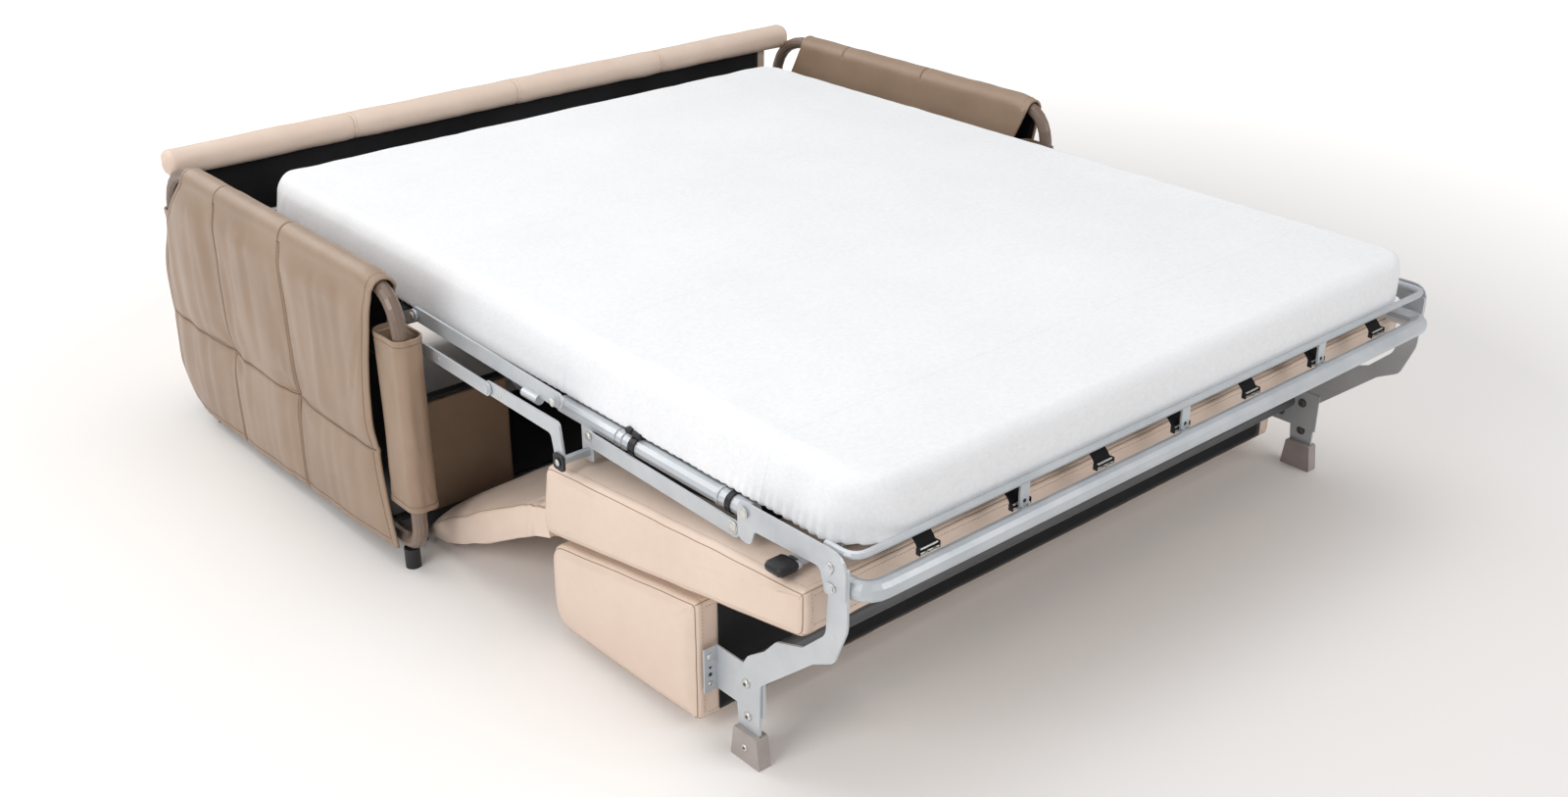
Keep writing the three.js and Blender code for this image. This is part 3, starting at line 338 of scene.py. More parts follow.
SHEET = cloth("sheet_look", (241, 242, 244), (246, 247, 249), 0.0012, 0.12, 0.8, 0.1, 2.5)
THREAD, SEAM = (0.0006, 0.4, 0.6, 0.1), (0.0006, 0.3, 0.7, 0.05)
THREAD_TAUPE = cloth("thread_taupe_look", (128, 106, 88), (150, 128, 110), *THREAD)
THREAD_BEIGE = cloth("thread_beige_look", (196, 170, 148), (214, 190, 168), *THREAD)
SEAM_TAUPE = cloth("seam_taupe_look", (96, 78, 63), (112, 92, 76), *SEAM)
SEAM_BEIGE = cloth("seam_beige_look", (160, 132, 110), (176, 148, 126), *SEAM)

LOOK_OF_SLOT = {
    "arm_paint": ARM_PAINT, "taupe_leather": TAUPE, "beige_leather": BEIGE,
    "grey_steel": STEEL, "black_plastic": BLACK, "black_cloth": BLACK_CLOTH,
    "foot_plastic": FOOT, "sheet_cloth": SHEET,
}
SLOT_OF_LOOK = {look.name: slot for slot, look in LOOK_OF_SLOT.items()}
SLOT_OF_LOOK.update({ZINC.name: "grey_steel", DARK_STEEL.name: "grey_steel",
                     STRAP.name: "black_cloth", THREAD_TAUPE.name: "taupe_leather",
                     THREAD_BEIGE.name: "beige_leather",
                     SEAM_TAUPE.name: "taupe_leather", SEAM_BEIGE.name: "beige_leather"})
OTHER_LOOKS = {
    # The cross tube's dark paint is painted shade: the tube lies in the shade under the bed
    "base_front_rail": DARK_STEEL, "base_rear_rail": DARK_STEEL, "cross_tube": DARK_STEEL,
    # The carrier plates' black is painted shade, for the dark inside of the base seen past the
    # arm covers
    "carrier_plate_left": BLACK, "carrier_plate_right": BLACK, "leg_bracket_right": STEEL,
}

for name, node in nodes.items():
    for holder in node.material_slots:
        holder.material = LOOK_OF_SLOT[holder.material.name.split(".")[0]]
    if name in OTHER_LOOKS:
        node.material_slots[0].material = OTHER_LOOKS[name]

# ---------------- mesh helpers

TAU = 2 * math.pi
X_AXIS, Y_AXIS, Z_AXIS = np.eye(3)


def xyz(x, y, z):
    """Points from three numbers or arrays of one shape."""
    return np.stack(np.broadcast_arrays(x, y, z), -1).astype(float)


def unit(vectors):
    return vectors / np.linalg.norm(vectors, axis=-1, keepdims=True)


def directions(path):
    return unit(np.gradient(path, axis=0))


def far_from(axis):
    return Z_AXIS if abs(axis[2]) < 0.9 else X_AXIS


def square_to(axis):
    """Two directions at right angles to an axis and to each other."""
    u = unit(np.cross(axis, far_from(axis)))
    return u, np.cross(axis, u)


def circle(u, v, sides):
    turn = np.linspace(0, TAU, sides, endpoint=False)[:, None]
    return np.cos(turn) * u + np.sin(turn) * v


def nearest(values, value):
    return int(np.argmin(np.abs(values - value)))


def noise3(points, scale, seed):
    """Smooth noise, about -1 to 1, at each point; scale is the size of its waves."""
    return np.array([noise.noise(Vector((p[0] / scale[0] + seed, p[1] / scale[1] - seed,
                                         p[2] / scale[2] + 2 * seed))) * 1.8
                     for p in points])


def make(name, points, faces, body, look, second=None, second_faces=(), sharp=None):
    """A smooth mesh piece that rides on a CAD body, with sharp edges over an angle."""
    mesh = bpy.data.meshes.new(name)
    mesh.from_pydata(metres(points).tolist(), [], [tuple(int(i) for i in f) for f in faces])
    mesh.validate()
    bm = bmesh.new()
    bm.from_mesh(mesh)
    bmesh.ops.recalc_face_normals(bm, faces=bm.faces)
    if sharp is not None:
        for edge in bm.edges:
            if len(edge.link_faces) == 2 and edge.calc_face_angle() > math.radians(sharp):
                edge.smooth = False
    bm.to_mesh(mesh)
    bm.free()
    mesh.polygons.foreach_set("use_smooth", [True] * len(mesh.polygons))
    mesh.materials.append(look)
    if second is not None:
        mesh.materials.append(second)
        indices = np.zeros(len(mesh.polygons), int)
        indices[list(second_faces)] = 1
        mesh.polygons.foreach_set("material_index", indices.tolist())
    mesh.update()
    made = add_object(name, mesh)
    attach(made, body)
    return made


def merged(parts):
    """One list of points and faces from several."""
    points, faces, count = [], [], 0
    for some_points, some_faces in parts:
        points.append(np.asarray(some_points, float).reshape(-1, 3))
        faces += [tuple(i + count for i in f) for f in some_faces]
        count += len(points[-1])
    return np.vstack(points), faces


def small(name, parts, body, look, sharp=40):
    return make(name, *merged(parts), body, look, sharp=sharp)


def grid_faces(rows, columns, wrapped=False):
    return [(i * columns + j, i * columns + (j + 1) % columns,
             (i + 1) * columns + (j + 1) % columns, (i + 1) * columns + j)
            for i in range(rows - 1) for j in range(columns if wrapped else columns - 1)]


def lofted(rings):
    """A closed form through closed rings with the same count of points."""
    rings = [np.asarray(r, float) for r in rings]
    count = len(rings[0])
    faces = grid_faces(len(rings), count, wrapped=True)
    ends = [rings[0].mean(0), rings[-1].mean(0)]
    first, last = len(rings) * count, len(rings) * count + 1
    base = first - count
    for j in range(count):
        k = (j + 1) % count
        faces += [(k, j, first), (base + j, base + k, last)]
    return np.vstack([*rings, ends]), faces


def shell(outer, inner):
    """A thin closed skin between two open grids, and the range of its inner faces."""
    rows, columns = outer.shape[:2]
    count = rows * columns
    faces = grid_faces(rows, columns)
    inside = [tuple(i + count for i in f[::-1]) for f in faces]
    rim = [i * columns for i in range(rows)]
    rim += [(rows - 1) * columns + j for j in range(1, columns)]
    rim += [i * columns + columns - 1 for i in range(rows - 2, -1, -1)]
    rim += [j for j in range(columns - 2, 0, -1)]
    border = [(a, b, b + count, a + count) for a, b in zip(rim, rim[1:] + rim[:1])]
    points = np.vstack([outer.reshape(-1, 3), inner.reshape(-1, 3)])
    return points, faces + inside + border, range(len(faces), 2 * len(faces))


def tube(path, radius, sides):
    """A closed tube along a path, on normals that turn as little as they can."""
    path = np.asarray(path, float)
    tangents = directions(path)
    side = np.cross(tangents[0], far_from(tangents[0]))
    rings = []
    for p, t in zip(path, tangents):
        side = unit(side - t * side.dot(t))
        rings.append(p + radius * circle(side, np.cross(side, t), sides))
    return lofted(rings)


def turned(at, axis, profile, sides):
    """A closed turned form: profile is a list of (radius, height along the axis)."""
    ring = circle(*square_to(axis), sides)
    return lofted([np.asarray(at, float) + axis * h + r * ring for r, h in profile])


def resampled(path, step):
    """Points at even steps along a polyline."""
    path = np.asarray(path, float)
    lengths = np.r_[0, np.cumsum(np.linalg.norm(np.diff(path, axis=0), axis=1))]
    count = max(2, int(round(lengths[-1] / step)) + 1)
    places = np.linspace(0, lengths[-1], count)
    return np.stack([np.interp(places, lengths, path[:, i]) for i in range(3)], axis=1)


STITCH_LENGTH, STITCH_RADIUS = 4.6, 0.75
STITCH_SHAPE = ((-1, 0.35), (-0.6, 1.0), (0.6, 1.0), (1, 0.35))


def sewn(name, paths, body, look, pitch=7.0):
    """Small thread pieces laid along each path."""
    parts = []
    for path in paths:
        spots = resampled(path, pitch)
        for p, t in list(zip(spots, directions(spots)))[1:-1]:
            ring = circle(*square_to(t), 5)
            parts.append(lofted([p + t * share * STITCH_LENGTH / 2
                                 + STITCH_RADIUS * size * ring
                                 for share, size in STITCH_SHAPE]))
    return make(name, *merged(parts), body, look)


def spaced(low, high, step, centres, fine, reach):
    """Stations from low to high, closer together near the centres."""
    out = [low]
    while out[-1] < high:
        here = out[-1]
        near = min((abs(here - c) for c in centres), default=math.inf)
        size = fine if near < reach else min(step, fine + (near - reach) * 0.35)
        out.append(min(high, here + size))
    if len(out) > 2 and out[-1] - out[-2] < fine * 0.5:
        out.pop(-2)
    return np.array(out)


def smooth_step(low, high, value):
    share = np.clip((value - low) / (high - low), 0, 1)
    return share * share * (3 - 2 * share)


def bell(distance, width):
    return np.exp(-(distance / width) ** 2)


# ---------------- arm covers

TUBE_X = 908.5
CROWN_Z = 624.0
SIDE_GAP = 24.0
LEATHER = 5.0
COVER_BOTTOM = 52.0
COVER_SHOULDER = 330.0
COVER_FRONT, COVER_FRONT_MID = -690.0, -648.0
COVER_REAR, COVER_REAR_MID = 148.0, 300.0
COVER_REAR_BEND = 95.0
COVER_SPAN = 948.0
INNER_BOTTOM, INNER_FRONT, INNER_REAR = 420.0, -646.0, 196.0
SEAM_Z = 252.0
SEAM_SHARES = (0.364, 0.684)
SEAM_Y = (-320.0, -18.0)
SEAM_RADIUS = 0.9
HEM = 13.0
HEM_DROP = 21.0
FALL_TOP = CROWN_Z - SIDE_GAP
CROWN_DIP_Y, CROWN_DIP = -633.0, 105.0
# Folds at the front edge: distance from it, slant, width, depth, height and its spread
PULLS = ((26, 0.22, 7, 3.4, 400, 85), (52, 0.30, 8, 1.9, 410, 70), (14, 0.05, 5, 1.5, 470, 80))


def fall_edges(z):
    """The front and rear edges of the outer fall at a height."""
    belly = math.sin(math.pi * (z - COVER_BOTTOM) / (FALL_TOP - COVER_BOTTOM))
    low = max(0.0, COVER_BOTTOM + COVER_REAR_BEND - z) / COVER_REAR_BEND
    high = max(0.0, z - COVER_SHOULDER) / (FALL_TOP - COVER_SHOULDER)
    rear = COVER_REAR_MID - (COVER_REAR_MID - COVER_REAR) * high * high
    return (COVER_FRONT + (COVER_FRONT_MID - COVER_FRONT) * belly,
            rear - COVER_REAR_BEND * low * low)


def spread(shares, front, rear):
    """Places along the cover from its front edge to its rear edge, the seams kept upright."""
    return np.interp(shares, [0, *SEAM_SHARES, 1], [front, *SEAM_Y, rear])


def cover_relief(t, y, z, front, rear):
    """How far the leather stands out of its plane on the outer fall."""
    to_seams = [y - s for s in SEAM_Y]
    near = np.min(np.abs(to_seams), axis=0)
    rise = z - SEAM_Z
    level = np.abs(rise)
    edge = np.minimum(t, 1 - t) * (rear - front)
    body = (1 - 0.62 * np.exp(-near / 34)) * (1 - 0.5 * np.exp(-level / 30))
    out = 17.0 * body * (1 - 0.75 * np.exp(-edge / 46))
    out *= 1 - 0.6 * np.exp(-(z - COVER_BOTTOM) / 40)
    for d in to_seams:
        radius = np.hypot(d, rise)
        angle = np.arctan2(rise, d)
        rays = 0.5 + 0.5 * np.cos(5 * angle + 1.3 * np.sin(2 * angle) + d[0] * 0.01)
        out -= 10.0 * np.exp(-(radius / 27) ** 1.3)
        out -= 4.6 * rays * (radius / 42) * np.exp(1 - radius / 42) * (level > 2)
        up = smooth_step(SEAM_Z, SEAM_Z + 30, z)
        out -= up * 2.8 * bell(d - 22 - 0.06 * rise, 10) * bell(z - 330, 90)
        out -= up * 2.4 * bell(d + 26 + 0.10 * rise, 12) * bell(z - 340, 110)
    spots = xyz(y, z, 0)
    out += 3.6 * noise3(spots, (58, 430, 1), 3.1) * smooth_step(SEAM_Z, SEAM_Z + 60, z)
    out += 1.9 * noise3(spots, (30, 240, 1), 7.7)
    out += 0.8 * noise3(spots, (70, 70, 1), 11.3)
    for from_edge, slant, width, depth, height, tall in PULLS:
        line = y - front - from_edge - slant * (470 - z)
        out -= depth * bell(line, width) * bell(z - height, tall)
    out *= 1 - smooth_step(540, 600, z)
    out -= 2.6 * (sum(bell(d, 2.4) for d in to_seams) * (z < 590) + bell(rise, 2.4))
    return out - 1.1 * bell(edge - HEM, 1.8)


def arm_cover(side, s):
    marks = [HEM, *(COVER_SPAN * k for k in SEAM_SHARES), COVER_SPAN - HEM]
    shares = spaced(0, COVER_SPAN, 9, marks, 1.5, 5) / COVER_SPAN
    levels = spaced(COVER_BOTTOM, FALL_TOP, 9, [COVER_BOTTOM + HEM, SEAM_Z], 1.5, 5)
    arch = np.linspace(0, math.pi, 17)[1:-1]
    drops = np.linspace(FALL_TOP, INNER_BOTTOM, 22)
    over = len(levels) + len(arch)
    outer = np.zeros((len(shares), over + len(drops), 3))
    inner = np.zeros_like(outer)
    for j, z in enumerate(levels):
        front, rear = fall_edges(z)
        y = spread(shares, front, rear)
        relief = cover_relief(shares, y, np.full_like(y, z), front, rear)
        hang = HEM_DROP * np.clip((y - COVER_FRONT) / 640, 0, 1)
        hang *= 1 - smooth_step(COVER_BOTTOM, SEAM_Z, z)
        outer[:, j] = xyz(TUBE_X + SIDE_GAP + LEATHER + relief, y, z - hang)
        inner[:, j] = outer[:, j] - LEATHER * X_AXIS
    y = spread(shares, COVER_FRONT, COVER_REAR)
    dip = CROWN_DIP / 4 * np.clip((CROWN_DIP_Y - y) / CROWN_DIP, 0, 1) ** 2
    ripple = 1.6 * noise3(xyz(y, 0, 0), (46, 1, 1), 5.5)
    seam = sum(bell((shares - k) * 856, 2.6) for k in SEAM_SHARES)
    for n, angle in enumerate(arch):
        up = math.sin(angle)
        relief = ripple * up * 0.6 - 2.4 * seam
        for grid, radius in ((outer, SIDE_GAP + LEATHER + relief), (inner, SIDE_GAP)):
            grid[:, len(levels) + n] = xyz(TUBE_X + radius * math.cos(angle), y,
                                           FALL_TOP + radius * up - dip)
    for n, z in enumerate(drops):
        drawn = min(1.0, 2 * n / (len(drops) - 1))
        y = spread(shares, COVER_FRONT + (INNER_FRONT - COVER_FRONT) * drawn,
                   COVER_REAR + (INNER_REAR - COVER_REAR) * drawn)
        wave = 1.2 * noise3(xyz(y, z, 0), (60, 200, 1), 9.2)
        x = TUBE_X - SIDE_GAP - LEATHER
        x = x - np.minimum(wave, 0.5) * smooth_step(FALL_TOP, 560, z)
        outer[:, over + n] = xyz(x, y, z)
        inner[:, over + n] = outer[:, over + n] + LEATHER * X_AXIS
    for grid in (outer, inner):
        grid[:, :, 0] *= s
    points, faces, inside = shell(outer, inner)
    made = make(f"arm_cover_skin_{side}", points, faces, "base", TAUPE, BLACK_CLOTH, inside)
    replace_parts(made, f"arm_cover_{side}")

    hem = [nearest(shares * COVER_SPAN, at) for at in (HEM, COVER_SPAN - HEM)]
    level = nearest(levels, SEAM_Z)
    paths = [outer[i, 2:over] for i in hem]
    paths.append(outer[hem[0]:hem[1] + 1, nearest(levels - COVER_BOTTOM, HEM)])
    paths += [outer[nearest(shares - k, shift / COVER_SPAN), :len(levels)]
              for k in SEAM_SHARES for shift in (-5.5, 5.5)]
    paths.append(outer[hem[0]:hem[1] + 1, nearest(levels - SEAM_Z, 5.5)])
    sewn(f"arm_cover_stitches_{side}", [path + s * 0.5 * X_AXIS for path in paths], "base",
         THREAD_TAUPE)
    lines = [outer[nearest(shares, k), 1:over] for k in SEAM_SHARES]
    lines.append(outer[2:-2, level])
    small(f"arm_cover_seams_{side}", [tube(line, SEAM_RADIUS, 6) for line in lines], "base",
          SEAM_TAUPE, None)
    # A rolled cord of leather finishes the open edges
    middle = (outer + inner) / 2
    small(f"arm_cover_edge_{side}",
          [tube(resampled(line, 9), radius, 10) for line, radius in
           ((middle[0], 3.4), (middle[-1], 3.4), (middle[:, 0], 3.2))], "base", TAUPE, None)


for side, s in SIDES:
    arm_cover(side, s)

# ---------------- leather sleeves

SLEEVE_HALF_X = 32.5
SLEEVE_ROUND = 24.0
SLEEVE_X = TUBE_X - 11.5
SLEEVE_HEM = 12.0
SLEEVE_LEATHER = 4.0


def rounded_ring(half_x, half_y, radius, per_corner, per_edge):
    """Points round a rectangle with round corners, from the +x side, turning left."""
    arcs = []
    for cx, cy, first in ((1, 1, 0), (-1, 1, 90), (-1, -1, 180), (1, -1, 270)):
        turn = np.radians(np.linspace(first, first + 90, per_corner))
        arcs.append(np.array([cx * (half_x - radius), cy * (half_y - radius)])
                    + radius * np.stack([np.cos(turn), np.sin(turn)], 1))
    points = []
    for arc, after in zip(arcs, arcs[1:] + arcs[:1]):
        points += [*arc, *(arc[-1] + (after[0] - arc[-1]) * k / per_edge
                           for k in range(1, per_edge))]
    return np.array(points)


def sleeve(side, s, end, centre_y, depth, bottom, top, seed):
    ring = rounded_ring(SLEEVE_HALF_X, depth / 2, SLEEVE_ROUND, 9, 12)
    inward = -unit(ring)
    hems = (bottom + SLEEVE_HEM, top - SLEEVE_HEM)
    levels = spaced(bottom, top, 10, hems, 1.6, 5)
    outside, inside = [], []
    for z in levels:
        full = math.sin(math.pi * (z - bottom) / (top - bottom))
        spots = xyz(*ring.T, z)
        wave = 1.5 * noise3(spots, (34, 34, 150), seed) * full
        slant = 1.3 * noise3(spots, (20, 20, 40), seed + 3)
        slant *= bell(z - top + 40, 30) + bell(z - bottom - 30, 26)
        out = -2.2 * full - np.abs(wave) - np.abs(slant) - sum(bell(z - h, 1.6) for h in hems)
        out += 0.8 * (z > hems[1] or z < hems[0]) - 0.8
        for rows, depth_in in ((outside, -out), (inside, SLEEVE_LEATHER - out)):
            flat = ring + inward * depth_in[:, None]
            rows.append(xyz(s * (SLEEVE_X + flat[:, 0]), centre_y + flat[:, 1], z))
    rings = outside + inside[::-1]
    count = len(ring)
    faces = grid_faces(len(rings), count, wrapped=True)
    last = (len(rings) - 1) * count
    faces += [(last + j, last + (j + 1) % count, (j + 1) % count, j) for j in range(count)]
    made = make(f"{end}_sleeve_skin_{side}", np.vstack(rings), faces, "base", TAUPE)
    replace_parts(made, f"{end}_sleeve_{side}")
    loops = []
    for z in hems:
        row = outside[nearest(levels, z)]
        loop = row + unit(row - row.mean(0)) * 0.5
        loops.append(np.vstack([loop, loop[:1]]))
    sewn(f"{end}_sleeve_stitches_{side}", loops, "base", THREAD_TAUPE, 6.5)


for side, s in SIDES:
    sleeve(side, s, "front", -705, 108, 148, 512, 2.3 + s)
    sleeve(side, s, "rear", 281, 60, 160, 500, 5.9 + s)

# ---------------- mattress in its sheet

BED_HALF = 745.0
BED_REAR, BED_FOOT = 132.0, -1836.0
BED_LOW, BED_TOP = 475.0, 585.0
BED_CORNER = 72.0
BED_EDGE, BED_LOW_EDGE = 27.0, 9.0
BED_SPREAD = 33.0
BED_SPLITS = (-560.0, -1070.0, -1613.0)
SPLIT_GAP = 0.15
BED_STEP, BED_FINE_STEP, BED_FINE_REACH = 7.0, 2.8, 300
BED_CAP = ((0.9, 0.6), (0.7, 1.2), (0.4, 1.6), (0.12, 1.7))
LONG = 1e6


def bed_ring(y):
    """One section across the bed, with the corners, folds and gathers of the sheet."""
    end = min(y - BED_FOOT, BED_REAR - y)
    half = BED_HALF
    if end < BED_CORNER:
        half += math.sqrt(BED_CORNER ** 2 - (BED_CORNER - end) ** 2) - BED_CORNER
    drop = 0.0
    if end < BED_EDGE:
        drop = BED_EDGE - math.sqrt(BED_EDGE ** 2 - (BED_EDGE - end) ** 2)
    top, low = BED_TOP - drop, BED_LOW + 0.22 * drop
    by, low_by = min(BED_EDGE, (top - low) / 2 - 1), BED_LOW_EDGE
    flat = half - by
    across = flat * np.sin(np.linspace(-math.pi / 2, math.pi / 2, 57))
    turn = np.linspace(0, math.pi / 2, 10)
    sin, cos, part = np.sin(turn), np.cos(turn), turn / (math.pi / 2)
    wall = (top - low - by - low_by) * np.linspace(0, 1, 9)[1:-1]
    # x, z and kind: 1 on top, 0 on the sides, -1 underneath
    x, z, kind = np.vstack([xyz(*piece) for piece in (
        (across, top, 1.0),
        (flat + by * sin[1:], top - by + by * cos[1:], 1 - part[1:]),
        (half, top - by - wall, 0.0),
        (half - low_by + low_by * cos, low + low_by - low_by * sin, -part),
        (across[::-4][1:-1], low, -1.0),
        (low_by - half - low_by * sin, low + low_by - low_by * cos, part - 1),
        (-half, low + low_by + wall, 0.0),
        (-flat - by * cos[:-1], top - by + by * sin[:-1], part[:-1]))]).T
    spots = xyz(x, y, z)
    up, down, side = np.clip(kind, 0, 1), np.clip(-kind, 0, 1), 1 - np.abs(kind)
    share = np.clip((z - low) / max(top - low, 1), 0, 1)
    reach = (1 - (np.abs(x) / half) ** 4) * (1 - math.exp(-end / 160))
    lift = up * reach * (5.0 + 2.6 * noise3(spots, (330, 260, LONG), 1.7)
                         + 1.0 * noise3(spots, (90, 420, LONG), 4.4)
                         + 0.5 * noise3(spots, (420, 46, LONG), 8.1))
    lift += up * 1.2 * noise3(spots, (60, 60, LONG), 2.9) * (1 - reach)
    bulge = side * (3.2 * np.sin(math.pi * share) - 1.2 * (1 - share) ** 2)
    near_corner = math.exp(-end / 190)
    gather = math.sin(y / 3.1 + 2.2 * noise.noise(Vector((y / 37, 0.3, 0.0))))
    depth = (1.0 + 3.0 * near_corner) * np.clip(1 - share * 2.7, 0, 1) ** 1.4
    bulge += (1 - np.abs(up)) * depth * gather
    bulge += side * 1.5 * noise3(spots, (LONG, 70, 200), 6.3)
    bulge += side * near_corner * 2.2 * noise3(spots, (LONG, 26, 90), 9.9)
    bulge += BED_SPREAD * (1 - share) ** 1.2 * smooth_step(0, 90, end) * (z < top - 1)
    outer = np.abs(x) > flat - 1
    return xyz(x + np.sign(x) * bulge * np.clip(side + 0.9 * down * outer, 0, 1), y, z + lift)


def bed_piece(node, body, rear, foot):
    edges = [c for c in (BED_REAR, BED_FOOT) if foot <= c <= rear]
    coarse = spaced(foot, rear, 13, edges, 1.7, 30)
    stations = []
    for a, b in zip(coarse[:-1], coarse[1:]):
        end = min(a - BED_FOOT, BED_REAR - b)
        parts = max(1, math.ceil((b - a) / (BED_FINE_STEP if end < BED_FINE_REACH
                                            else BED_STEP)))
        stations += [a + (b - a) * k / parts for k in range(parts)]
    stations.append(rear)
    rings = [bed_ring(min(max(y, BED_FOOT + 0.02), BED_REAR - 0.02)) for y in stations]
    for way, y, ring in ((-1, stations[0], rings[0]), (1, stations[-1], rings[-1])):
        if y not in edges:
            continue
        middle = (ring[:, 2].max() + ring[:, 2].min()) / 2
        for size, push in BED_CAP:
            cap = xyz(ring[:, 0] * (1 - 0.02 * (1 - size)), ring[:, 1] + way * push,
                      middle + (ring[:, 2] - middle) * size)
            rings = [cap, *rings] if way < 0 else [*rings, cap]
    made = make(f"{node}_sheeted", *lofted(rings), body, SHEET, sharp=50)
    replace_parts(made, node)
    return made


bed_head = bed_piece("mattress_head", "head_section", BED_REAR, BED_SPLITS[0] + SPLIT_GAP)
bed_fold = bed_piece("mattress_fold", "head_section", BED_SPLITS[0] - SPLIT_GAP,
                     BED_SPLITS[1] + SPLIT_GAP)
bed_middle = bed_piece("mattress_middle", "seat_section", BED_SPLITS[1] - SPLIT_GAP,
                       BED_SPLITS[2] + SPLIT_GAP)
bed_foot = bed_piece("mattress_foot", "foot_section", BED_SPLITS[2] - SPLIT_GAP, BED_FOOT)

# ---------------- boxed leather forms

FAR_FROM_SEAM = 50.0
CAP_SIZES = (0.97, 0.9, 0.78, 0.62, 0.44, 0.24, 0.08)
SEAM_RIM = 4
STITCH_LIFT = 0.4


class Ring:
    """A closed section: its points, their outward normals, the edge each is on, its share of
    the way along that edge (0 in a corner), and its distance to the corner's seam."""

    def __init__(self, flat, normals, edge, share, seam):
        self.flat, self.normals = flat, normals
        self.edge, self.share, self.seam = edge, share, seam


def polygon_ring(corners, radii, per_corner=9, step=12.0):
    """Round a polygon with round corners."""
    corners = np.asarray(corners, float)
    arcs = []
    for here, before, after, radius in zip(corners, np.roll(corners, 1, 0),
                                           np.roll(corners, -1, 0), radii):
        a, b = unit(before - here), unit(after - here)
        cut = radius / math.tan(math.acos(np.clip(a.dot(b), -1, 1)) / 2)
        start, end = here + a * cut, here + b * cut
        arcs.append([(1 - t) ** 2 * start + 2 * t * (1 - t) * here + t * t * end
                     for t in np.linspace(0, 1, per_corner)])
    rows = []
    for n, (arc, following) in enumerate(zip(arcs, arcs[1:] + arcs[:1])):
        seam = arc[len(arc) // 2]
        rows += [(*p, n, 0.0, np.linalg.norm(p - seam)) for p in arc]
        gap = following[0] - arc[-1]
        parts = max(2, int(np.linalg.norm(gap) / step))
        rows += [(*(arc[-1] + gap * k / parts), n, k / parts, FAR_FROM_SEAM)
                 for k in range(1, parts)]
    rows = np.array(rows)
    points = rows[:, :2]
    along = np.roll(points, -1, 0) - np.roll(points, 1, 0)
    normals = unit(np.stack([along[:, 1], -along[:, 0]], 1))
    if np.sum(normals * (points - points.mean(0))) < 0:
        normals = -normals
    return Ring(points, normals, rows[:, 2].astype(int), rows[:, 3], rows[:, 4])


def dome(ring, spots, plain):
    """A smooth rise from the edges of an end face to its middle."""
    rise = 1.0
    for n in np.unique(ring.edge):
        line = ring.flat[(ring.edge == n) & (ring.share > 0)]
        if len(line) < 2:
            return plain
        along = unit(line[-1] - line[0])
        away = (spots - line[0]) @ np.array([-along[1], along[0]])
        rise = rise * (1 - np.exp(-np.abs(away) / 34))
    return rise


def boxed(name, body, look, place, ring, half, end_radius, crowns, end_crown, seed,
          seams=(), wrinkle=1.0, step=14.0, middle=0.0, seam_corners=(), pinch=2.2):
    """A stuffed form: a ring swept along its length, with boxed and seamed ends.
    place turns (along, a, b) arrays into points."""
    flat = ring.flat
    stations = spaced(-half, half, step, [-half, half, *seams], 1.8, end_radius * 0.9)
    crown = np.sin(math.pi * ring.share) ** 0.75 * np.array(crowns)[ring.edge]
    near_seam = np.exp(-ring.seam / 30) * (ring.seam > 0)
    rings, sections = [], []
    for at in stations:
        end = half - abs(at)
        inset = 0.0
        if end < end_radius:
            inset = end_radius - math.sqrt(max(0, end_radius ** 2 - (end_radius - end) ** 2))
        spots = xyz(at, *flat.T)
        out = crown * (1 - math.exp(-end / 70))
        out = out + wrinkle * 0.9 * noise3(spots, (75, 60, 60), seed)
        out += wrinkle * 1.1 * noise3(spots, (26, 120, 120), seed + 4) * near_seam
        for n in seam_corners:
            on_corner = (ring.edge == n) & (ring.share == 0)
            out -= 1.3 * bell(np.where(on_corner, ring.seam, 99.0), 2.6)
        out -= pinch * sum(bell(at - s, 2.6) + 0.5 * bell(at - s, 16) for s in seams)
        out -= inset + 1.2 * bell(end - end_radius * 0.3, 1.6)
        sections.append(flat + ring.normals * out[:, None])
        rings.append(place(middle + at, *sections[-1].T))
    for way, first in ((-1, sections[0]), (1, sections[-1])):
        centre = first.mean(0)
        for size in CAP_SIZES:
            moved = centre + (first - centre) * size
            rough = noise3(xyz(way * half, *moved.T), (60, 60, 60), seed + 8)
            push = end_crown * dome(ring, moved, 1 - size ** 2)
            push = push + wrinkle * 0.6 * rough * (1 - size)
            cap = place(middle + way * (half + push), *moved.T)
            rings = [cap, *rings] if way < 0 else [*rings, cap]
    caps = len(CAP_SIZES)
    return make(name, *lofted(rings), body, look), rings[caps:-caps], stations


def trimmed(name, body, ring, rings, stations, half, corners, end_offset):
    """Stitches beside the seams and round the ends, then fine dark lines in the seams."""
    lifted = [r + unit(r - r.mean(0)) * STITCH_LIFT for r in rings]
    seams = []
    for n in corners:
        arc = np.where((ring.edge == n) & (ring.share == 0))[0]
        seams.append(arc[np.argmin(ring.seam[arc])])

    def lengthways(rows, index, margin):
        return np.array([row[index % len(row)] for row, at in zip(rows, stations)
                         if half - abs(at) > margin])

    def around(rows, margin, overlap):
        ends = [rows[nearest(stations, way * (half - margin))] for way in (-1, 1)]
        return [np.vstack([row, row[:overlap]]) for row in ends]

    paths = [lengthways(lifted, seam + shift, end_offset)
             for seam in seams for shift in (-4, 4)]
    lines = [lengthways(rings, seam, SEAM_RIM) for seam in seams]
    return (sewn(f"{name}_stitches", paths + around(lifted, end_offset, 1), body,
                 THREAD_BEIGE),
            small(f"{name}_seams", [tube(line, SEAM_RADIUS, 6)
                                    for line in lines + around(rings, SEAM_RIM, 2)],
                  body, SEAM_BEIGE, None))


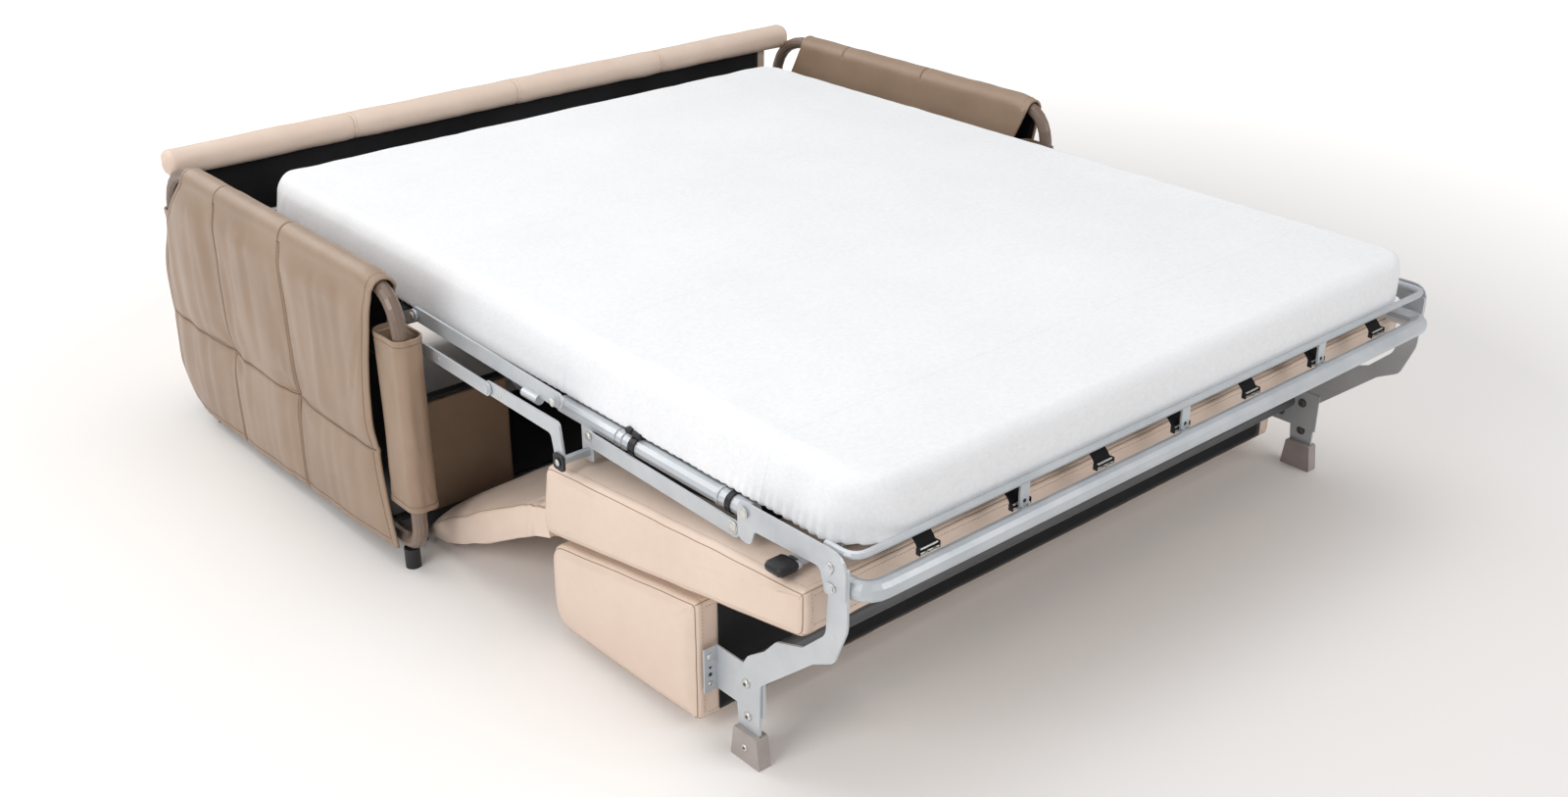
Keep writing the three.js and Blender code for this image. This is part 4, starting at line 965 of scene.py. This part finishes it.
# Seat cushion, upside down under the open bed
CUSHION_HALF = 832
ring = polygon_ring([(-1780, 331), (-1060, 207), (-1082, 358), (-1780, 417)],
                    [26, 24, 28, 11])
cushion, rings, stations = boxed("seat_cushion_leather", "seat_section", BEIGE, xyz, ring,
                                 CUSHION_HALF, 14, (7.0, 7.0, 15.0, 7.0), 9.0, 3.7,
                                 seam_corners=(0, 3), step=12)
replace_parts(cushion, "seat_cushion")
trimmed("seat_cushion", "seat_section", ring, rings, stations, CUSHION_HALF, (0, 3), 16)

# Backrest block, hanging under the foot section
BLOCK_TOP = 270.0
ring = polygon_ring([(-1514, 32), (-1084, 22), (-1084, 197), (-1514, BLOCK_TOP)],
                    [14, 58, 46, 12])
block, rings, stations = boxed("backrest_block_leather", "foot_section", BEIGE, xyz, ring,
                               CUSHION_HALF, 13, (5.0, 9.0, 6.0, 0.6), 13.0, 8.9,
                               seam_corners=(0, 3), step=12)
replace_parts(block, "backrest_block")
# The backrest block, its stitches and its seams get meshes of their own
for piece in (block, *trimmed("backrest_block", "foot_section", ring, rings, stations,
                              CUSHION_HALF, (0, 3), 15)):
    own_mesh(piece)

# Back: a padded roll on a thin upholstered shell
ROLL_SEAMS = (-459.5, 0.0, 459.5)
ROLL_AT, ROLL_SIZE = (274.0, 607.0), (33.0, 31.0)
ROLL_FROM_SEAM = 60
ROLL_SIDES, ROLL_SHOWN = 48, 34
SQUARENESS = 2.5
normals = circle(np.array([1.0, 0]), np.array([0, 1.0]), ROLL_SIDES)
squared = np.sum(np.abs(normals) ** SQUARENESS, 1) ** (-1 / SQUARENESS)
zeros = np.zeros(ROLL_SIDES)
ring = Ring(np.array(ROLL_AT) + np.array(ROLL_SIZE) * normals * squared[:, None], normals,
            zeros.astype(int), zeros, zeros + ROLL_FROM_SEAM)
roll, rings, stations = boxed("back_roll", "base", BEIGE, xyz, ring, 917, 15, (0,), 5.0, 5.1,
                              seams=ROLL_SEAMS, wrinkle=1.3)
rows = [rings[nearest(stations - s, shift)] for s in ROLL_SEAMS for shift in (-5, 5)]
lift = STITCH_LIFT / (sum(ROLL_SIZE) / 2)
sewn("back_roll_stitches", [(row + (row - row.mean(0)) * lift)[:ROLL_SHOWN] for row in rows],
     "base", THREAD_BEIGE)

ring = polygon_ring([(280.3, 60), (305, 60), (305, 604), (280.3, 604)], [3, 9, 9, 3], 7, 22)
back = boxed("back_shell", "base", BEIGE, xyz, ring, 858, 8, (0.0, 3.5, 0.0, 0.0), 1.5, 6.6,
             seams=ROLL_SEAMS, wrinkle=0.7, step=24, pinch=1.2)[0]
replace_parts(back, "back_panel")


def wavy(a, b, scale, seed):
    """Noise on a grid of two coordinates."""
    return noise3(xyz(a.ravel(), b.ravel(), 0), (*scale, 1), seed).reshape(a.shape)


# Black lining inside the back: thin cloth on a board, with a hem along its top
x, z = np.meshgrid(np.linspace(-826, 826, 120), spaced(60, 577.6, 16, [565.6, 577.6], 1.6, 5),
                   indexing="ij")
front = xyz(x, 275.6 + 0.8 * wavy(x, z, (140, 90), 3.3) - 0.5 * (z > 566), z)
lining = make("back_lining_cloth", *shell(front, xyz(x, 279.6, z))[:2], "base", BLACK_CLOTH)
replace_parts(lining, "back_lining")

# ---------------- apron

APRON_HALF = 829.5
APRON_BEND = (-650.0, -790.0)
APRON_UPPER = ((-632, 35), (-700, 76), (-778, 119), (-894, 184), (-975, 227), (-1022, 249),
               (-1074, 262))
APRON_LOWER = ((-632, 13), (-690, 20), (-768, 48), (-850, 89), (-939, 135), (-1030, 184),
               (-1082, 204))


def apron_skin():
    """A soft panel from under the base to the seat's front edge, crumpled where it turns."""
    curves = [resampled(np.c_[np.zeros(len(c)), c], 6.2)[:, 1:]
              for c in (APRON_UPPER, APRON_LOWER)]
    count = min(len(c) for c in curves)
    shares = np.linspace(0, 1, count)
    upper, lower = [np.stack([np.interp(shares, np.linspace(0, 1, len(c)), c[:, n])
                              for n in (0, 1)], 1) for c in curves]
    middle = (upper + lower) / 2
    way = unit(upper - middle)
    deep = np.sin(math.pi * shares) ** 0.6
    near = smooth_step(0.72, 0.97, shares)
    top, low = [], []
    for x in spaced(-APRON_HALF, APRON_HALF, 9, [-APRON_HALF, APRON_HALF], 1.6, 20):
        close = APRON_HALF - abs(x)
        full = math.sqrt(max(0.0, 1 - max(0.0, (12 - close) / 12) ** 2))
        spots = xyz(x, *middle.T)
        crumple = 3.4 * noise3(spots, (21, 70, 70), 2.2) * near
        crumple += 2.4 * noise3(spots, (120, 80, 80), 5.2) * deep
        crumple += 6.0 * deep * (1 - math.exp(-close / 60))
        wander = 0.014 * math.sin(x / 55) + 0.01 * math.sin(x / 23)
        crumple -= 6.5 * bell(shares - 0.905 - wander, 0.014)
        crumple -= 3.5 * bell(shares - 0.85 + wander, 0.012)
        swell = (crumple * full - 5.0 * (1 - full) * deep)[:, None]
        above, below = upper + way * swell, lower - way * swell
        above[:, 1] += 36 * (1 - math.exp(-close / 50)) * (1 - smooth_step(0.2, 0.9, shares))
        top.append(xyz(x, *above.T))
        low.append(xyz(x, *below.T))
    top, low = np.array(top), np.array(low)
    leather_piece = make("apron_leather", *shell(top, low)[:2], "apron_flap", BEIGE, sharp=60)
    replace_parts(leather_piece, "apron")
    seams = small("apron_seams", [tube(rows[3][2:-1] + 0.2 * Z_AXIS, SEAM_RADIUS, 6)
                                  for rows in (top, top[::-1])], "apron_flap", SEAM_BEIGE,
                  None)
    thread = sewn("apron_stitches", [rows[5][4:-1] + 0.3 * Z_AXIS
                                     for rows in (top, top[::-1])], "apron_flap",
                  THREAD_BEIGE)
    start, end = metres([(0, y, 70) for y in APRON_BEND])
    for piece in (leather_piece, seams, thread):
        piece.parent = None
        del piece["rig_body"]
        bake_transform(piece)


apron_skin()

# ---------------- front stiles


def standing(along, a, b):
    return xyz(a, b, along)


for side, s in SIDES:
    ring = polygon_ring([(s * 808, -604), (s * 605, -604), (s * 605, -580), (s * 808, -580)],
                        [5, 11, 5, 4], 7, 14)
    stile = boxed(f"base_stile_leather_{side}", "base", TAUPE, standing, ring, 124.5, 5,
                  (2.2, 0.6, 0.0, 0.0), 0.0, 4.4 + s, middle=169.5, wrinkle=0.5, step=10)[0]
    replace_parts(stile, f"base_stile_{side}")
    ring = polygon_ring([(s * 807, -605.5), (s * 604, -605.5), (s * 604, -579),
                         (s * 807, -579)], [3, 9, 4, 3], 6, 20)
    boxed(f"stile_strip_{side}", "base", BLACK, standing, ring, 4.3, 1.5,
          (0.0, 0.0, 0.0, 0.0), 0.0, 1.0, middle=299.0, wrinkle=0.0, step=2)

# ---------------- strap nets

RIBBON = np.array(((-1, 0), (-0.97, 0.9), (-0.5, 1.1), (0, 1), (0.5, 1.1), (0.97, 0.9),
                   (1, 0), (0.97, -0.9), (0.5, -1), (0, -1), (-0.5, -1), (-0.97, -0.9)))
NET_MARGIN, NET_WIDTH, NET_THICK = 23, 45, 2.0
TAPE_MARGIN, TAPE_WIDTH, TAPE_THICK = 92, 44, 1.8
HOOK_X = [n * 210.0 for n in range(-3, 4)]


def ribbon(path, width, thick, across):
    """A flat strap with round edges along a path; across is its width's direction."""
    wide, high = np.hsplit(RIBBON / 2, 2)
    return lofted([p + wide * width * across + high * thick * up
                   for p, up in zip(path, unit(np.cross(directions(path), across)))])


def strap_net(node, body, straps):
    """Sagging straps across, and three tapes woven under them, in the place of a solid."""
    low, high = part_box(node)
    half, top = high.x * 1000, high.z * 1000
    front, rear = low.y * 1000 - ORIGIN_Y, high.y * 1000 - ORIGIN_Y
    pitch = (rear - front - 2 * NET_MARGIN) / (straps - 1)
    x, y = np.linspace(-half, half, 60), np.linspace(front, rear, 60)
    parts = []
    for n in range(straps):
        sag = 2.4 * (1 - (x / half) ** 2) + 0.5 * np.sin(x / 37 + n)
        path = xyz(x, front + NET_MARGIN + pitch * n, top - 1.4 - sag * 0.5)
        parts.append(ribbon(path, NET_WIDTH, NET_THICK, Y_AXIS))
    weave = 1.1 * np.cos((y - front - NET_MARGIN) / pitch * TAU)
    for way in (-1, 0, 1):
        path = xyz(way * (half - TAPE_MARGIN), y, top - 3.6 - weave)
        parts.append(ribbon(path, TAPE_WIDTH, TAPE_THICK, X_AXIS))
    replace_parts(small(f"{node}_straps", parts, body, STRAP, None), node)


strap_net("middle_net", "seat_section", 6)
strap_net("head_net_front", "head_section", 4)
strap_net("head_net_rear", "head_section", 4)

# The hem of the foot net, and its tongues on the way to the hooks
x, y = np.linspace(-736, 736, 120), np.linspace(-1828, -1672, 24)
hem = ribbon(xyz(x, -1670, 469 + 0.6 * np.sin(x / 31)), 46, 2.2, Y_AXIS)
rise = np.sin((y + 1828) / 156 * math.pi)
tongues = [ribbon(xyz(at, y, 470.6 + rise), 38, 2.2, X_AXIS) for at in HOOK_X]
made = small("foot_net_straps", [hem, *tongues], "foot_section", STRAP, None)
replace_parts(made, "foot_net")

# Each piece of the mattress gets a mesh of its own
CLOSED_MIDDLE_Y = -1524.0
for piece, axis, anchor_y, keep in (
        (bed_head, (0, 1, 0), BED_REAR, 0.24), (bed_fold, (0, 1, 0), BED_REAR, 0.24),
        (bed_middle, (0, 1, 0), CLOSED_MIDDLE_Y, 0.617), (bed_foot, (0, 0, 1), BED_FOOT, 0.3)):
    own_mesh(piece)
    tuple(axis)

# ---------------- small hardware

# Turned forms: the count of sides, then (radius, height) as shares of the whole
RIVET = 22, ((1.25, 0), (1.25, 0.22), (1, 0.3), (0.97, 0.55), (0.8, 0.82), (0.5, 0.96),
             (0.15, 1))
RING_RIVET = 22, ((1, 0), (1, 0.6), (0.88, 1), (0.68, 1), (0.58, 0.7), (0.52, 0.25),
                  (0.1, 0.2))
SOCKET_SCREW = 24, ((1, 0), (1, 0.35), (0.9, 0.7), (0.68, 1), (0.42, 1), (0.4, 0.45),
                    (0.05, 0.4))
WASHER = 24, ((1.35, 0), (1.35, 0.18), (1.3, 0.24), (0.5, 0.24))
HEX_NUT = 6, ((1, 0.24), (1, 0.85), (0.88, 1), (0.5, 1), (0.46, 0.86), (0.1, 0.86))
SOCKET = 6, ((1, 0), (1, 0.5), (0.5, 0.6))
LOW_SOCKET = 6, ((1, 0), (1, 0.5), (0.48, 0.6))
HOLE = 16, ((1, 0), (1, 0.3), (0.4, 0.32))
FLANGE_Y = -1526.6

# Piece, body and look, the direction it faces (away from the middle of the bed is 1, towards
# it -1, the foot end 0), then form, x, y, z, radius and height
TURNED_HARDWARE = (
    ("seat_link_rivets", "long_links", ZINC, 1, (
        (RIVET, 802.6, -1185, 444, 7, 3.2), (RIVET, 802.6, -1579, 434, 9, 3.6))),
    ("crank_rivets", "seat_cranks", ZINC, 1, (
        (RIVET, 846.4, -1150, 393, 5, 2.4), (RIVET, 839.6, -962, 452, 4.5, 2.2))),
    ("lower_bar_rivets", "drop_links", ZINC, 1, (
        (RIVET, 847.1, -660, 461, 5, 2.4), (RIVET, 845.6, -760, 459, 3.2, 1.6))),
    ("bridge_rivets", "bridge_bars", ZINC, 1, (
        (RIVET, 829.1, -1118, 493, 6.5, 3.0), (RIVET, 819.1, -985, 497, 3.6, 2.0),
        (RIVET, 829.1, -640, 505, 7.5, 3.2))),
    ("foot_plate_rivets", "foot_section", ZINC, 1, (
        (RIVET, 810.1, -1614, 477, 8, 3.0), (RING_RIVET, 807.2, -1812, 468, 7.5, 3.0),
        (RING_RIVET, 807.2, -1817, 434, 7.5, 3.0))),
    ("leg_screws", "foot_section", ZINC, 1, (
        (SOCKET_SCREW, 802.8, -1609, 151, 8.5, 4.6),
        (SOCKET_SCREW, 802.8, -1613, 88, 8.5, 4.6),
        (SOCKET_SCREW, 813.3, -1615, 30, 6.5, 2.4))),
    ("leg_sockets", "foot_section", BLACK, 1, (
        (SOCKET, 804.6, -1609, 151, 3.3, 1), (SOCKET, 804.6, -1613, 88, 3.3, 1),
        (LOW_SOCKET, 814.2, -1615, 30, 2.5, 1))),
    ("leg_nuts", "foot_section", DARK_STEEL, -1, (
        (WASHER, 794.3, -1609, 154, 7.5, 7), (HEX_NUT, 794.3, -1609, 154, 7.5, 7),
        (WASHER, 797.6, -1613, 88, 7.5, 7), (HEX_NUT, 797.6, -1613, 88, 7.5, 7),
        (WASHER, 794.3, -1560, 118, 6.5, 6), (HEX_NUT, 794.3, -1560, 118, 6.5, 6))),
    ("flange_screws", "foot_section", ZINC, 0, (
        (RIVET, 813, FLANGE_Y, 166, 6.5, 4.0), (RING_RIVET, 813, FLANGE_Y, 112, 5.0, 2.4))),
    ("flange_holes", "foot_section", BLACK, 0, (
        (HOLE, 813, FLANGE_Y, 144, 2.6, 1), (HOLE, 813, FLANGE_Y, 130, 3.8, 1))),
)

RAIL_X, RAIL_Z, RAIL_RADIUS = 772.0, 455.0, 17.1
KNOB = ((797, 840, -1736, -1694, 421, 440, 8), (790, 800, -1726, -1704, 422.5, 437.5, 5))
SPRING_TURNS, SPRING_RADIUS = 7, 3.6
SPRING_HOOK = ((812, -978, 470), (812, -970, 471), (812, -963, 476), (813, -960, 483),
               (814, -963, 489), (815, -969, 491))


def rail_band(s, y, width, thick):
    """A closed band round a side rail, centred on y."""
    half, edge = width / 2, min(0.8, thick / 2)
    outline = ((0, -half), (thick - edge, -half), (thick, edge - half),
               (thick, half - edge), (thick - edge, half), (0, half))
    points = np.array([[(s * RAIL_X, y + along, RAIL_Z) + (RAIL_RADIUS + out) * ray
                        for out, along in outline] for ray in circle(X_AXIS, -Z_AXIS, 30)])
    rays, count = points.shape[:2]
    faces = grid_faces(rays + 1, count, wrapped=True)
    return points.reshape(-1, 3), [tuple(n % (rays * count) for n in face) for face in faces]


def block(low, high, edge):
    """A box with rounded long edges and softened ends."""
    low, high = np.asarray(low, float), np.asarray(high, float)
    half, middle = (high - low) / 2, (low + high) / 2
    ring = rounded_ring(half[1], half[2], edge, 5, 2)
    ends = [(half[0], edge), (half[0] - 0.3 * edge, 0.35 * edge), (half[0] - edge, 0)]
    return lofted([xyz(middle[0] + at, *(middle[1:] + ring * (1 - inset / half[1:])).T)
                   for at, inset in [(-at, inset) for at, inset in ends] + ends[::-1]])


def side_hardware(side, s):
    facing = {1: s * X_AXIS, -1: -s * X_AXIS, 0: -Y_AXIS}
    for name, body, look, way, rows in TURNED_HARDWARE:
        small(f"{name}_{side}", [turned((s * x, y, z), facing[way],
                                        [(radius * r, height * h) for r, h in profile], sides)
                                 for (sides, profile), x, y, z, radius, height in rows],
              body, look)

    # Middle rail: black bands, a clip with a tab, wire bands, and a knob on the end bar
    clip = [block((s * RAIL_X - x, rear, low), (s * RAIL_X + x, front, high), 3)
            for x, rear, front, low, high in ((9, -1306, -1278, 473.5, 484),
                                              (12, -1284, -1268, 476, 487))]
    small(f"rail_clips_{side}", [rail_band(s, -1292, 17, 2.6), rail_band(s, -1549, 13, 2.4),
                                 *clip], "seat_section", BLACK)
    small(f"rail_bands_{side}", [rail_band(s, -1262, 3.2, 1.2), rail_band(s, -1243, 3.2, 1.2),
                                 rail_band(s, -1521, 6, 1.4)], "seat_section", STEEL)
    knob = [block((min(s * x, s * far), rear, low), (max(s * x, s * far), front, high), edge)
            for x, far, rear, front, low, high, edge in KNOB]
    small(f"end_bar_knob_{side}", knob, "seat_section", BLACK, 180)

    # A spring hook and its coil between the bridge bar and the tube
    turns = np.linspace(0, SPRING_TURNS * TAU, 200)
    coil = xyz(s * 812 + SPRING_RADIUS * np.cos(turns), -1012 + 34 * turns / turns[-1],
               470 + SPRING_RADIUS * np.sin(turns))
    hook = resampled(np.array(SPRING_HOOK) * (s, 1, 1), 3)
    small(f"link_spring_{side}", [tube(coil, 0.9, 6), tube(hook, 1.1, 8)], "bridge_bars",
          DARK_STEEL)


for side, s in SIDES:
    side_hardware(side, s)

# Strap hooks behind the foot rail: each has two bars, two shanks and two clamps
HOOK_BARS = ((-1841.5, 449.0), (-1843.6, 442.5))
HOOK_SHANK = ((-1843.6, 442.5), (-1847, 445.5), (-1851, 447), (-1855, 448))
TONGUE_END = ((-1806, 472), (-1822, 467), (-1832, 458), (-1838, 449), (-1840.5, 441))
hooks, clamps, tongues = [], [], []
for x in HOOK_X:
    hooks += [tube(xyz(np.linspace(x - 21, x + 21, 10), *at), 2.1, 10) for at in HOOK_BARS]
    hooks += [tube(resampled(xyz(x + shift, *np.transpose(HOOK_SHANK)), 3), 1.3, 8)
              for shift in (-9.0, 9.0)]
    clamps += [block((x + edge - 1.6, -1845.8, 439.5), (x + edge + 1.6, -1836, 452.0), 1.4)
               for edge in (-21.5, 21.5)]
    tongue = resampled(xyz(x, *np.transpose(TONGUE_END)), 4)
    tongues.append(ribbon(tongue, 41, 2.2, X_AXIS))
small("strap_tongues", tongues, "foot_section", STRAP)
small("strap_hooks", hooks, "foot_section", ZINC)
small("strap_clamps", clamps, "foot_section", BLACK)

# Ends of the retainer's uprights, with their screws
UPRIGHT_X = (-420.0, 0.0, 420.0)
small("upright_ends", [block((x - 11, -1850, 437), (x + 11, -1846, 448.5), 1)
                       for x in UPRIGHT_X], "foot_section", STEEL)
small("upright_screws", [turned((x, -1850.1, 455), -Y_AXIS, [(3.6, 0), (3.6, 0.6), (1.5, 0.7)],
                                14) for x in UPRIGHT_X], "foot_section", BLACK)

# Black cloth on the hidden side of the backrest block; it reaches down over the block's lower
# leather edge as painted shade
x, z = np.meshgrid(np.linspace(-786, 786, 90), np.linspace(43, 256, 20), indexing="ij")
front = xyz(x, -1517.4 - 0.5 * wavy(x, z, (120, 80), 7.3), z)
cloth = make("block_lining_and_shade_cloth", *shell(front, xyz(x, -1515.6, z))[:2], "foot_section",
             BLACK_CLOTH)

# Black cloth under the front of the base: partly a dust cover, partly painted shade for the
# dark inside of the base
x, y = np.meshgrid(np.linspace(-844, 844, 90), np.linspace(-576, -216, 36), indexing="ij")
sag = 1.5 * np.sin((x + 844) / 1688 * math.pi) * np.sin((y + 576) / 360 * math.pi)
cloth = make("base_dust_and_shade_cloth", *shell(xyz(x, y, 47.5 - sag), xyz(x, y, 45.9 - sag))[:2],
             "base", BLACK_CLOTH)
